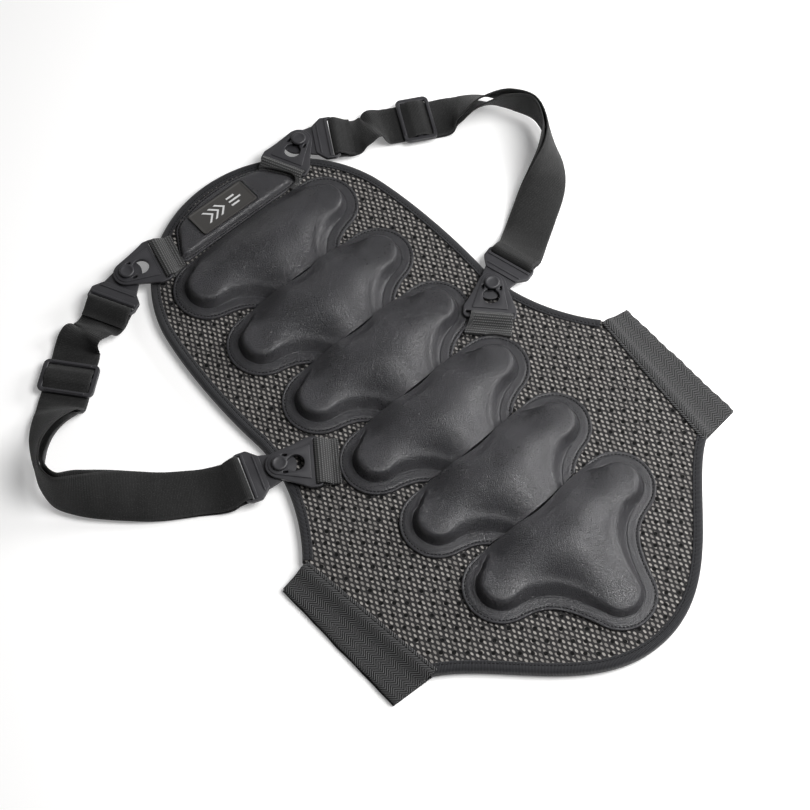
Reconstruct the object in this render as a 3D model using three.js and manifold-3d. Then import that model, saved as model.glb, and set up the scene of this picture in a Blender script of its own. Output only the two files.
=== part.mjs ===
// Motorcycle back protector: a padded mesh panel that carries six moulded spine plates,
// two adjustable elastic shoulder straps on keyhole buckles and two waist belt tabs.
// Millimetres. The panel lies on its lining: +Z points away from the wearer's back,
// +Y points to the neck, and the origin is the middle of the lining's outer face.
import * as THREE from 'three';
import { mergeVertices } from 'three/addons/utils/BufferGeometryUtils.js';
import Module from 'manifold-3d';

const wasm = await Module();
wasm.setup();

const rad = THREE.MathUtils.degToRad;
const GAP = 0.3;

// Panel outline, right half.
const NECK_Y = 258;
const SHOULDER = [113, 171];
const WAIST = [120, 40];
const HIP = [160.5, -61.5];
const HEM = [144.5, -187];
const TAIL_Y = -281;

// Panel thickness, from the floor up.
const LIP = 0.8;
const LINING_TOP = 2.1;
const FOAM_TOP = 6.4;
const MESH_TOP = 8.6;
const PLATE_BASE = MESH_TOP + GAP;
const BINDING_WIDTH = 8;
const BINDING_TOP = PLATE_BASE + LIP;
const BINDING_WALL = 1;

// Waist belt tabs: outer corners and the strip sewn over the panel.
const TAB_OUTER_HIP = [181.2, -64];
const TAB_OUTER_HEM = [178, -184.5];
const TAB_LAP = 6;
const TAB_CLEARANCE = 1.5;
const TAB_TOP = BINDING_TOP + 0.3;

// Spine plates.
const PLATE_COUNT = 6;
const PLATE_PITCH = 69.2;
const FLANGE = 2.2;
const SKIN = 1.6;
const BULGE_TOP = 32;
const LOBE_X = 61;
const LOBE_Y = 1.5;
const LOBE_R = 29.5;
const PLATE_TOP_EDGE = 31;
const PLATE_TOP_DIP = 7;
const PLATE_TAIL = 89.5;
const CREASE_INSET = 9.5;
const NEIGHBOUR_GAP = 0.4;

// Webbing and buckles.
const STRAP_WIDTH = 38;
const STRAP_THICK = 1.6;
const LAYER_GAP = 1.2;
const ANCHOR_THICK = 1.4;
const BUCKLE_HALF = 21.5;
const SLOT_HALF = 19.5;
const STUD_PLATE_Z = [10, 13.4];
const TONGUE_TOP = 12.2;
const KEY_PLATE_Z = [12.5, 15.7];
const KEY_BAR_U = [-32.5, -29];
const STUD_BAR_U = [30.5, 33.5];
const STUD_POST_R = 2.6;
const STUD_HEAD_R = 6.2;
const STUD_TOP = 18.8;
const BAR_WRAP_R = 3.5;

// Sliders.
const SLIDER_LENGTH = 29;
const SLIDER_HALF_WIDTH = 23;
const SLIDER_BAR = 3.4;
const SLIDER_Z = [5, 8];

// Each buckle: stud position, direction from the panel to the stud, direction of the strap.
const BUCKLES = {
  upper_right: { stud: [87, 237.5], key: 24, strap: -31 },
  upper_left: { stud: [-103, 228], key: 166, strap: 206 },
  lower_right: { stud: [111.5, 22.5], key: 43, strap: 14 },
  lower_left: { stud: [-120.5, 12], key: 144, strap: 160 },
};

// Each shoulder strap from its upper buckle to its lower one: x, y, roll of the inner edge.
const STRAPS = {
  right: {
    inner: 1,
    slider: { at: [181, 192], angle: -29 },
    straight: 23,
    lead: [137.5, 211],
    route: [
      [209, 176.5, 8],
      [216, 171.5, 24],
      [231, 160, 50],
      [247, 145, 70],
      [256, 124, 80],
      [248, 100, 78],
      [236, 83, 62],
      [219, 69.5, 36],
      [196, 57, 10],
      [175, 45.5, 0],
    ],
  },
  left: {
    inner: -1,
    slider: { at: [-195, 185], angle: 219 },
    straight: 23,
    lead: [-156, 207],
    route: [
      [-217.5, 166.5, 8],
      [-223, 162, 23],
      [-239, 149, 50],
      [-253, 136, 72],
      [-263, 121, 80],
      [-263, 104.5, 76],
      [-251, 92, 60],
      [-229, 75, 34],
      [-205, 56.5, 10],
      [-181, 41, 0],
    ],
  },
};

const materials = {
  leather: new THREE.MeshStandardMaterial({ color: 0x2a2a2c, roughness: 0.45, metalness: 0 }),
  foam: new THREE.MeshStandardMaterial({ color: 0x3b3b3d, roughness: 0.9, metalness: 0 }),
  mesh: new THREE.MeshStandardMaterial({ color: 0x4a4643, roughness: 0.9, metalness: 0 }),
  lining: new THREE.MeshStandardMaterial({ color: 0x1d1d1f, roughness: 0.95, metalness: 0 }),
  tape: new THREE.MeshStandardMaterial({ color: 0x26262b, roughness: 0.85, metalness: 0 }),
  twill: new THREE.MeshStandardMaterial({ color: 0x3c3c3e, roughness: 0.85, metalness: 0 }),
  webbing: new THREE.MeshStandardMaterial({ color: 0x2b2b2d, roughness: 0.8, metalness: 0 }),
  plastic: new THREE.MeshStandardMaterial({ color: 0x343537, roughness: 0.5, metalness: 0 }),
  label: new THREE.MeshStandardMaterial({ color: 0x393739, roughness: 0.6, metalness: 0 }),
};

const group = new THREE.Group();

function addPart(name, geometry, material, matrix) {
  const mesh = new THREE.Mesh(geometry, material);
  mesh.name = name;
  if (matrix) {
    mesh.applyMatrix4(matrix);
  }
  group.add(mesh);
  return mesh;
}

// ---- Solids ------------------------------------------------------------------------------

function toSolid(geometry) {
  const bare = new THREE.BufferGeometry();
  bare.setAttribute('position', geometry.getAttribute('position').clone());
  if (geometry.index) {
    bare.setIndex(geometry.index.clone());
  }
  const merged = mergeVertices(bare, 1e-4);
  const mesh = new wasm.Mesh({
    numProp: 3,
    vertProperties: new Float32Array(merged.getAttribute('position').array),
    triVerts: new Uint32Array(merged.index.array),
  });
  return new wasm.Manifold(mesh);
}

function toGeometry(solid) {
  const mesh = solid.getMesh();
  const geometry = new THREE.BufferGeometry();
  geometry.setAttribute('position', new THREE.BufferAttribute(mesh.vertProperties, 3));
  geometry.setIndex(new THREE.BufferAttribute(mesh.triVerts, 1));
  return geometry;
}

function largestBody(solid) {
  const bodies = solid.decompose();
  bodies.sort((a, b) => b.volume() - a.volume());
  return bodies[0];
}

// Rings of equal point count, in order along the solid, closed by a cap at each end.
function loftSolid(rings, contour) {
  const count = rings[0].length;
  const positions = rings.flat().flatMap((p) => [p.x, p.y, p.z]);
  const faces = [];
  for (let r = 0; r + 1 < rings.length; r += 1) {
    for (let i = 0; i < count; i += 1) {
      const a = r * count + i;
      const b = r * count + ((i + 1) % count);
      faces.push([a, b, b + count], [a, b + count, a + count]);
    }
  }
  const last = (rings.length - 1) * count;
  const caps = THREE.ShapeUtils.triangulateShape(contour, []);
  const turned = THREE.ShapeUtils.isClockWise(contour);
  for (const cap of caps) {
    const [a, b, c] = turned ? cap.toReversed() : cap;
    faces.push([c, b, a], [last + a, last + b, last + c]);
  }
  const volume = faces.reduce((sum, [a, b, c]) => {
    const p = new THREE.Vector3().fromArray(positions, 3 * a);
    const q = new THREE.Vector3().fromArray(positions, 3 * b);
    const s = new THREE.Vector3().fromArray(positions, 3 * c);
    return sum + p.dot(q.cross(s));
  }, 0);
  const geometry = new THREE.BufferGeometry();
  geometry.setAttribute('position', new THREE.Float32BufferAttribute(positions, 3));
  geometry.setIndex(faces.flatMap(([a, b, c]) => (volume > 0 ? [a, b, c] : [a, c, b])));
  return geometry;
}

// A stack of outlines: each level is an outline and its height.
function stackSolid(levels) {
  const rings = levels.map(([outline, z]) => outline.map((p) => new THREE.Vector3(p.x, p.y, z)));
  return loftSolid(rings, levels[0][0]);
}

function slab(outline, bottom, top) {
  return stackSolid([[outline, bottom], [outline, top]]);
}

function slabFromShape(shape, bottom, top, segments = 6) {
  const geometry = new THREE.ExtrudeGeometry(shape, {
    depth: top - bottom,
    bevelEnabled: false,
    curveSegments: segments,
  });
  return geometry.translate(0, 0, bottom);
}

// ---- Outlines ----------------------------------------------------------------------------

const vec2 = (xy) => new THREE.Vector2(xy[0], xy[1]);

function sampleCurves(curves, counts) {
  const points = curves.flatMap((curve, i) => curve.getPoints(counts[i]).slice(0, -1));
  return points;
}

// Left normal of the outline at each point; outlines run clockwise, so this points outward.
function outwardNormals(points) {
  return points.map((p, i) => {
    const before = points[(i + points.length - 1) % points.length];
    const after = points[(i + 1) % points.length];
    const a = p.clone().sub(before).normalize();
    const b = after.clone().sub(p).normalize();
    const normal = new THREE.Vector2(-a.y - b.y, a.x + b.x).normalize();
    const miter = 1 / Math.max(0.7, Math.sqrt((1 + a.dot(b)) / 2));
    return normal.multiplyScalar(miter);
  });
}

function inset(points, distance) {
  const normals = outwardNormals(points);
  return points.map((p, i) => {
    const depth = typeof distance === 'function' ? distance(p) : distance;
    return p.clone().addScaledVector(normals[i], -depth);
  });
}

// The same outline drawn smaller about the middle of its box, by a distance on every side.
function shrunk(points, distance) {
  const box = new THREE.Box2().setFromPoints(points);
  const centre = box.getCenter(new THREE.Vector2());
  const size = box.getSize(new THREE.Vector2());
  return points.map((p) => new THREE.Vector2(
    centre.x + (p.x - centre.x) * (1 - (2 * distance) / size.x),
    centre.y + (p.y - centre.y) * (1 - (2 * distance) / size.y)));
}

const mirrored = (points) => points.map((p) => new THREE.Vector2(-p.x, p.y)).reverse();

const neckCurve = new THREE.CubicBezierCurve(
  vec2([0, NECK_Y]), vec2([55, NECK_Y]), vec2([100, 220]), vec2(SHOULDER));
const flankCurve = new THREE.CubicBezierCurve(
  vec2(SHOULDER), vec2([119, 146]), vec2([124, 90]), vec2(WAIST));
const flareCurve = new THREE.CubicBezierCurve(
  vec2(WAIST), vec2([119, 8]), vec2([134, -32]), vec2(HIP));
const tabLine = new THREE.LineCurve(vec2(HIP), vec2(HEM));
const tailCurve = new THREE.CubicBezierCurve(
  vec2(HEM), vec2([100, -212]), vec2([66, TAIL_Y]), vec2([0, TAIL_Y]));

// The right half runs clockwise seen from above, from the neck to the tail.
const rightSide = sampleCurves([neckCurve, flankCurve, flareCurve], [8, 5, 6]).concat([vec2(HIP)]);
const rightTail = sampleCurves([tailCurve], [9]).concat([new THREE.Vector2(0, TAIL_Y)]);
const rightHalf = rightSide.concat(rightTail);
const panelOutline = rightHalf.concat(mirrored(rightHalf).slice(1, -1));

// ---- Panel -------------------------------------------------------------------------------

function buildPanel() {
  const tucked = inset(panelOutline, BINDING_WALL + GAP);
  const flush = inset(panelOutline, BINDING_WIDTH + GAP);
  const liningTop = toSolid(slab(tucked, LIP + GAP, LINING_TOP));
  const liningFace = toSolid(slab(flush, 0, LINING_TOP));
  addPart('back_lining', toGeometry(liningTop.add(liningFace)), materials.lining);
  addPart('foam_core', slab(tucked, LINING_TOP + GAP, FOAM_TOP), materials.foam);
  addPart('mesh_panel', slab(tucked, FOAM_TOP + GAP, MESH_TOP), materials.mesh);
}

// Folded tape around the rim, as a channel that opens inward.
function bindingSolid(points) {
  const section = [
    [0, 0], [BINDING_WIDTH, 0], [BINDING_WIDTH, LIP], [BINDING_WALL, LIP],
    [BINDING_WALL, PLATE_BASE], [BINDING_WIDTH, PLATE_BASE],
    [BINDING_WIDTH, BINDING_TOP], [0, BINDING_TOP],
  ];
  const rings = points.map((p, i) => {
    const before = points[Math.max(i - 1, 0)];
    const after = points[Math.min(i + 1, points.length - 1)];
    const along = after.clone().sub(before).normalize();
    const inward = new THREE.Vector2(along.y, -along.x);
    if (Math.abs(p.x) < 1) {
      inward.set(0, -Math.sign(p.y));
    }
    return section.map(([depth, z]) => {
      const q = p.clone().addScaledVector(inward, depth);
      return new THREE.Vector3(q.x, q.y, z);
    });
  });
  return loftSolid(rings, section.map(vec2));
}

function tabFootprint(side, grow) {
  const corners = [
    [HIP[0] - TAB_LAP - grow, HIP[1] + grow],
    [TAB_OUTER_HIP[0] + grow, TAB_OUTER_HIP[1] + grow],
    [TAB_OUTER_HEM[0] + grow, TAB_OUTER_HEM[1] - grow],
    [HEM[0] - TAB_LAP - grow, HEM[1] - grow],
  ];
  return corners.map(([x, y]) => new THREE.Vector2(side * x, y));
}

function buildBinding() {
  const clearTabs = (geometry) => {
    let solid = toSolid(geometry);
    for (const side of [1, -1]) {
      solid = solid.subtract(toSolid(slab(tabFootprint(side, TAB_CLEARANCE), -1, BINDING_TOP + 1)));
    }
    return toGeometry(largestBody(solid));
  };
  const leftSide = mirrored(rightSide);
  const wholeTail = rightTail.concat(mirrored(rightTail).slice(1));
  const neckGap = new THREE.Vector2(GAP / 2, 0);
  const startRight = [rightSide[0].clone().add(neckGap)].concat(rightSide.slice(1));
  const endLeft = leftSide.slice(0, -1).concat([leftSide.at(-1).clone().sub(neckGap)]);
  addPart('edge_binding_right', clearTabs(bindingSolid(startRight)), materials.tape);
  addPart('edge_binding_left', clearTabs(bindingSolid(endLeft)), materials.tape);
  addPart('edge_binding_tail', clearTabs(bindingSolid(wholeTail)), materials.tape);
}

// One strip of twill tape sewn along the hip edge; its section runs from the lap outward.
function tabLayer(side, sectionAt) {
  const steps = 4;
  const rings = [];
  for (let i = 0; i <= steps; i += 1) {
    const t = i / steps;
    const edge = vec2(HIP).lerp(vec2(HEM), t);
    const outer = vec2(TAB_OUTER_HIP).lerp(vec2(TAB_OUTER_HEM), t);
    const across = outer.clone().sub(edge);
    const width = across.length();
    across.normalize();
    rings.push(sectionAt(width).map(([reach, z]) => {
      const p = edge.clone().addScaledVector(across, reach);
      return new THREE.Vector3(side * p.x, p.y, z);
    }));
  }
  return loftSolid(rings, sectionAt(20).map(vec2));
}

// Two strips per side, one over the edge and one under it, open along the outside.
function buildTabs() {
  const upper = (width) => [
    [-TAB_LAP, PLATE_BASE], [0, PLATE_BASE], [9, 4.8], [width, 3.4],
    [width, 4.6], [9, 6.1], [0.6, TAB_TOP], [-TAB_LAP, TAB_TOP],
  ];
  const lower = (width) => [
    [-TAB_LAP, 0], [width, 0], [width, 1], [1, 1], [-0.5, LIP], [-TAB_LAP, LIP],
  ];
  for (const [name, side] of [['right', 1], ['left', -1]]) {
    addPart(`belt_tab_upper_${name}`, tabLayer(side, upper), materials.twill);
    addPart(`belt_tab_lower_${name}`, tabLayer(side, lower), materials.twill);
  }
}

// ---- Spine plates ------------------------------------------------------------------------

// Three-lobed outline of one plate, about the middle of the line through its side lobes.
function plateHalf() {
  const start = rad(100);
  const end = rad(-75);
  const steps = 7;
  const lobe = [];
  for (let i = 0; i <= steps; i += 1) {
    const angle = start + ((end - start) * i) / steps;
    const x = LOBE_X + LOBE_R * Math.cos(angle);
    lobe.push(new THREE.Vector2(x, Math.min(LOBE_Y + LOBE_R * Math.sin(angle), PLATE_TOP_EDGE)));
  }
  const waist = new THREE.CubicBezierCurve(
    lobe.at(-1), vec2([47, -31.5]), vec2([39, -38]), vec2([26.5, -72]));
  const tail = new THREE.CubicBezierCurve(
    vec2([26.5, -72]), vec2([22, -83]), vec2([11, -PLATE_TAIL]), vec2([0, -PLATE_TAIL]));
  const dip = PLATE_TOP_EDGE - PLATE_TOP_DIP;
  const top = new THREE.CubicBezierCurve(
    vec2([0, dip]), vec2([22, dip]), vec2([38, PLATE_TOP_EDGE - 1]), lobe[0]);
  return sampleCurves([top], [4]).concat(lobe.slice(0, -1), sampleCurves([waist, tail], [4, 3]), [
    new THREE.Vector2(0, -PLATE_TAIL)]);
}

const halfPlate = plateHalf();
const plateOutline = halfPlate.concat(mirrored(halfPlate).slice(1, -1));

// A depth in from the outline that differs along the top edge between the lobes, where the
// bulge starts right at the edge and slopes up gently.
function bulgeInset(depth, depthAtTopEdge) {
  return (p) => {
    const high = THREE.MathUtils.smoothstep(p.y, 18, 26);
    const inLobe = THREE.MathUtils.smoothstep(Math.abs(p.x), 46, 66);
    return THREE.MathUtils.lerp(depth, depthAtTopEdge, high * (1 - inLobe));
  };
}

function bulgeLevels(shrink, bottom) {
  const crease = inset(plateOutline, bulgeInset(CREASE_INSET + shrink, 2 + shrink));
  const side = inset(plateOutline, bulgeInset(CREASE_INSET + 4 + shrink, 2.6 + shrink));
  const crown = inset(plateOutline, bulgeInset(CREASE_INSET + 12 + shrink, 18 + shrink));
  return [
    [crease, bottom],
    [crease, PLATE_BASE + FLANGE],
    [side, BULGE_TOP - 9 - shrink],
    [crown, BULGE_TOP - shrink],
  ];
}

function placed(solid, index) {
  const y = (PLATE_COUNT / 2 - 0.5 - index) * PLATE_PITCH;
  return solid.translate([0, y, 0]);
}

// Each plate's tail stops at the top edge of the next one. Returns the room one plate needs.
function buildPlates() {
  const flange = toSolid(slab(plateOutline, PLATE_BASE, PLATE_BASE + FLANGE));
  const bulge = toSolid(stackSolid(bulgeLevels(0, PLATE_BASE)));
  const cavity = toSolid(stackSolid(bulgeLevels(SKIN, PLATE_BASE - 1)));
  const skin = flange.add(bulge).subtract(cavity);
  const core = toSolid(stackSolid(bulgeLevels(SKIN + GAP, PLATE_BASE + GAP)));
  const nextPlate = toSolid(slab(inset(plateOutline, -NEIGHBOUR_GAP), 0, BULGE_TOP + 5));
  for (let i = 0; i < PLATE_COUNT; i += 1) {
    let plateSkin = placed(skin, i);
    let plateCore = placed(core, i);
    if (i + 1 < PLATE_COUNT) {
      plateSkin = plateSkin.subtract(placed(nextPlate, i + 1));
      plateCore = plateCore.subtract(placed(nextPlate, i + 1));
    }
    addPart(`spine_plate_${i + 1}`, toGeometry(largestBody(plateSkin)), materials.leather);
    addPart(`plate_core_${i + 1}`, toGeometry(largestBody(plateCore)), materials.foam);
  }
  return nextPlate;
}

// ---- Neck patch --------------------------------------------------------------------------

const PATCH_TOP = 14.9;
const PATCH_BEVEL = 4;

function patchOutline() {
  const shape = new THREE.Shape();
  shape.moveTo(0, 248);
  shape.bezierCurveTo(17, 248, 32, 245, 42, 240);
  shape.quadraticCurveTo(47, 237.5, 49, 233);
  shape.lineTo(60.5, 213.5);
  shape.quadraticCurveTo(63, 207.5, 56, 207.5);
  const half = shape.getPoints(4);
  return half.concat(mirrored(half).slice(0, -1));
}

function buildNeckPatch() {
  const outline = patchOutline();
  const cover = toSolid(stackSolid([
    [outline, PLATE_BASE],
    [outline, PLATE_BASE + 1.6],
    [shrunk(outline, PATCH_BEVEL), PATCH_TOP],
  ]));
  const room = shrunk(outline, PATCH_BEVEL + SKIN);
  const hollow = toSolid(slab(room, PLATE_BASE - 1, PATCH_TOP - SKIN));
  const filling = slab(inset(room, GAP), PLATE_BASE + GAP, PATCH_TOP - SKIN - GAP);
  addPart('neck_patch', toGeometry(cover.subtract(hollow)), materials.leather);
  addPart('neck_patch_core', filling, materials.foam);
  const label = new THREE.Shape();
  const [left, bottom, width, height, corner] = [-33, 214.5, 56, 24, 2.5];
  label.moveTo(left + corner, bottom);
  label.lineTo(left + width - corner, bottom);
  label.quadraticCurveTo(left + width, bottom, left + width, bottom + corner);
  label.lineTo(left + width, bottom + height - corner);
  label.quadraticCurveTo(left + width, bottom + height, left + width - corner, bottom + height);
  label.lineTo(left + corner, bottom + height);
  label.quadraticCurveTo(left, bottom + height, left, bottom + height - corner);
  label.lineTo(left, bottom + corner);
  label.quadraticCurveTo(left, bottom, left + corner, bottom);
  const labelTop = PATCH_TOP + GAP + 0.7;
  addPart('neck_label', slabFromShape(label, PATCH_TOP + GAP, labelTop, 3), materials.label);
}

// ---- Flat webbing ------------------------------------------------------------------------

// A flat strip along a line of frames, each with its centre, width direction and travel.
// The cap is laid out slightly bulged, so that its middle points stay in it.
function webbingSolid(frames, width, thickness) {
  const corners = [[1, 1], [0, 1], [-1, 1], [-1, -1], [0, -1], [1, -1]];
  const capOutline = corners.map(([side, face]) => vec2([side, face * (1.2 - Math.abs(side) / 5)]));
  const rings = frames.map(({ centre, across, travel }) => {
    const normal = travel.clone().cross(across).normalize();
    return corners.map(([side, face]) => {
      const point = centre.clone().addScaledVector(across, (side * width) / 2);
      return point.addScaledVector(normal, (face * thickness) / 2);
    });
  });
  return loftSolid(rings, capOutline);
}

// Frames through chosen centres; the level width direction turns evenly from first to last.
function framesThrough(centres, firstAcross, lastAcross, turnFrom = 0) {
  return centres.map((centre, i) => {
    const before = centres[Math.max(i - 1, 0)];
    const after = centres[Math.min(i + 1, centres.length - 1)];
    const travel = after.clone().sub(before).normalize();
    const part = Math.max(0, (i - turnFrom) / (centres.length - 1 - turnFrom));
    const across = firstAcross.clone().lerp(lastAcross, part);
    across.addScaledVector(travel, -across.dot(travel)).setZ(0).normalize();
    return { centre, across, travel };
  });
}

const buckleFrame = ({ stud }, angle) => {
  const turn = new THREE.Matrix4().makeRotationZ(rad(angle));
  return turn.setPosition(stud[0], stud[1], 0);
};

// Centre line of webbing around a bar in the buckle's own plane, from angle to angle.
function aroundBar(barU, barZ, radius, fromDeg, toDeg, steps) {
  const points = [];
  for (let i = 0; i <= steps; i += 1) {
    const angle = rad(fromDeg + ((toDeg - fromDeg) * i) / steps);
    points.push([barU + radius * Math.cos(angle), barZ + radius * Math.sin(angle)]);
  }
  return points;
}

const middle = ([a, b]) => (a + b) / 2;
const lift = (matrix) => ([u, z]) => new THREE.Vector3(u, 0, z).applyMatrix4(matrix);
const acrossOf = (matrix) => new THREE.Vector3(0, 1, 0).transformDirection(matrix);

// ---- Buckles -----------------------------------------------------------------------------

function keyholePlateShape() {
  const apex = 11.5;
  const base = KEY_BAR_U[0];
  const corner = 4;
  const slotEnd = -25.8;
  const shoulder = new THREE.QuadraticBezierCurve(
    vec2([apex * Math.cos(rad(65)), -apex * Math.sin(rad(65))]),
    vec2([-14, -17]), vec2([-22, -BUCKLE_HALF]));
  const foot = new THREE.QuadraticBezierCurve(
    vec2([base + corner, -BUCKLE_HALF]), vec2([base, -BUCKLE_HALF]),
    vec2([base, -BUCKLE_HALF + corner]));
  const side = shoulder.getPoints(4).concat(foot.getPoints(3));
  const tip = [];
  for (const angle of [45, 25, 0, -25, -45]) {
    tip.push(new THREE.Vector2(apex * Math.cos(rad(angle)), apex * Math.sin(rad(angle))));
  }
  const otherSide = side.map((p) => new THREE.Vector2(p.x, -p.y)).reverse();
  const shape = new THREE.Shape(tip.concat(side, otherSide));
  const keyhole = new THREE.Path();
  const neck = STUD_POST_R + 0.5;
  const eye = STUD_HEAD_R + 0.7;
  const eyeCentre = -12;
  const throat = Math.asin(neck / eye);
  keyhole.absarc(0, 0, neck, rad(-90), rad(90), false);
  keyhole.absarc(eyeCentre, 0, eye, throat, 2 * Math.PI - throat, false);
  keyhole.closePath();
  const slot = new THREE.Path();
  slot.moveTo(KEY_BAR_U[1], -SLOT_HALF);
  slot.lineTo(slotEnd, -SLOT_HALF);
  slot.lineTo(slotEnd, SLOT_HALF);
  slot.lineTo(KEY_BAR_U[1], SLOT_HALF);
  slot.closePath();
  shape.holes.push(keyhole, slot);
  return shape;
}

function studPlateSolid() {
  const tongueEnd = 13;
  const slotStart = 27;
  const tongueShape = new THREE.Shape();
  tongueShape.absarc(0, 0, 9.5, rad(80), rad(280), false);
  tongueShape.lineTo(tongueEnd + 1, -15);
  tongueShape.lineTo(tongueEnd + 1, 15);
  tongueShape.closePath();
  const bodyShape = new THREE.Shape();
  const end = STUD_BAR_U[1];
  bodyShape.moveTo(tongueEnd, -14);
  bodyShape.lineTo(21, -BUCKLE_HALF);
  bodyShape.lineTo(end - 4, -BUCKLE_HALF);
  bodyShape.lineTo(end, -BUCKLE_HALF + 2.5);
  bodyShape.lineTo(end, BUCKLE_HALF - 2.5);
  bodyShape.lineTo(end - 4, BUCKLE_HALF);
  bodyShape.lineTo(21, BUCKLE_HALF);
  bodyShape.lineTo(tongueEnd, 14);
  bodyShape.closePath();
  const slot = new THREE.Path();
  slot.moveTo(slotStart, -SLOT_HALF);
  slot.lineTo(STUD_BAR_U[0], -SLOT_HALF);
  slot.lineTo(STUD_BAR_U[0], SLOT_HALF);
  slot.lineTo(slotStart, SLOT_HALF);
  slot.closePath();
  bodyShape.holes.push(slot);
  const post = new THREE.CylinderGeometry(STUD_POST_R, STUD_POST_R, 5, 14).rotateX(Math.PI / 2);
  post.translate(0, 0, KEY_PLATE_Z[1] - 1.4);
  const headHeight = STUD_TOP - KEY_PLATE_Z[1] - 0.5;
  const head = new THREE.CylinderGeometry(STUD_HEAD_R - 1, STUD_HEAD_R, headHeight, 16);
  head.rotateX(Math.PI / 2).translate(0, 0, STUD_TOP - headHeight / 2);
  const tongue = toSolid(slabFromShape(tongueShape, STUD_PLATE_Z[0], TONGUE_TOP));
  const body = toSolid(slabFromShape(bodyShape, ...STUD_PLATE_Z));
  return tongue.add(body).add(toSolid(post)).add(toSolid(head));
}

// Webbing sewn to the panel and looped round the keyhole plate's bar.
function anchorWebbing(matrix, overlaps) {
  const barU = middle(KEY_BAR_U);
  const barZ = middle(KEY_PLATE_Z);
  const tail = -46;
  const low = BINDING_TOP + GAP + ANCHOR_THICK / 2;
  const high = low + ANCHOR_THICK + GAP;
  const section = [[tail, low], [-39, low]]
    .concat(aroundBar(barU, barZ, BAR_WRAP_R, 250, 470, 7))
    .concat([[-37, 14.2], [-41, high], [tail, high]]);
  const across = acrossOf(matrix);
  const frames = framesThrough(section.map(lift(matrix)), across, across);
  let solid = toSolid(webbingSolid(frames, STRAP_WIDTH, ANCHOR_THICK));
  for (const overlap of overlaps) {
    solid = solid.subtract(overlap);
  }
  return toGeometry(largestBody(solid));
}

function buildBuckles(plateRoom) {
  const patchRoom = toSolid(slab(inset(patchOutline(), -NEIGHBOUR_GAP), 0, BULGE_TOP));
  const overlaps = [patchRoom];
  for (let i = 0; i < PLATE_COUNT; i += 1) {
    overlaps.push(placed(plateRoom, i));
  }
  const keyhole = slabFromShape(keyholePlateShape(), ...KEY_PLATE_Z);
  const studPlate = toGeometry(studPlateSolid());
  for (const [name, buckle] of Object.entries(BUCKLES)) {
    const keyFrame = buckleFrame(buckle, buckle.key);
    addPart(`keyhole_plate_${name}`, keyhole, materials.plastic, keyFrame);
    const studFrame = buckleFrame(buckle, buckle.strap);
    addPart(`stud_plate_${name}`, studPlate, materials.plastic, studFrame);
    const webbing = anchorWebbing(keyFrame, overlaps);
    addPart(`anchor_webbing_${name}`, webbing, materials.webbing);
  }
}

// ---- Shoulder straps ---------------------------------------------------------------------

// Frames of a strap on the floor: flat, then on its outer edge round the bend, then flat.
// It starts flat on either side of the slider and follows the route from there.
function strapFrames(strap, steps) {
  const { at, angle } = strap.slider;
  const forward = [Math.cos(rad(angle)), Math.sin(rad(angle))];
  const onLine = (distance) => [at[0] + forward[0] * distance, at[1] + forward[1] * distance, 0];
  const stations = [onLine(-strap.straight), onLine(0), onLine(strap.straight), ...strap.route];
  const stack = STRAP_THICK + LAYER_GAP / 2 + GAP;
  const points = stations.map(([x, y, roll]) => {
    const z = (STRAP_WIDTH / 2) * Math.sin(rad(roll)) + stack;
    return new THREE.Vector3(x, y, z);
  });
  const curve = new THREE.CatmullRomCurve3(points, false, 'centripetal');
  const frames = [];
  for (let i = 0; i <= steps; i += 1) {
    const t = i / steps;
    const place = t * (stations.length - 1);
    const index = Math.min(Math.floor(place), stations.length - 2);
    const part = place - index;
    const roll = rad(THREE.MathUtils.lerp(stations[index][2], stations[index + 1][2], part));
    const travel = curve.getTangent(t);
    const inward = new THREE.Vector3(travel.y, -travel.x, 0).normalize();
    inward.multiplyScalar(strap.inner);
    const up = travel.clone().cross(inward).multiplyScalar(-strap.inner).normalize();
    up.multiplyScalar(Math.sign(up.z));
    const across = inward.clone().multiplyScalar(Math.cos(roll)).addScaledVector(up, Math.sin(roll));
    const top = up.clone().multiplyScalar(Math.cos(roll)).addScaledVector(inward, -Math.sin(roll));
    frames.push({ centre: curve.getPoint(t), across, travel, top });
  }
  return frames;
}

function layerFrames(frames, side) {
  const offset = (STRAP_THICK + LAYER_GAP) / 2;
  return frames.map(({ centre, across, travel, top }) => (
    { centre: centre.clone().addScaledVector(top, side * offset), across, travel }));
}

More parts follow.
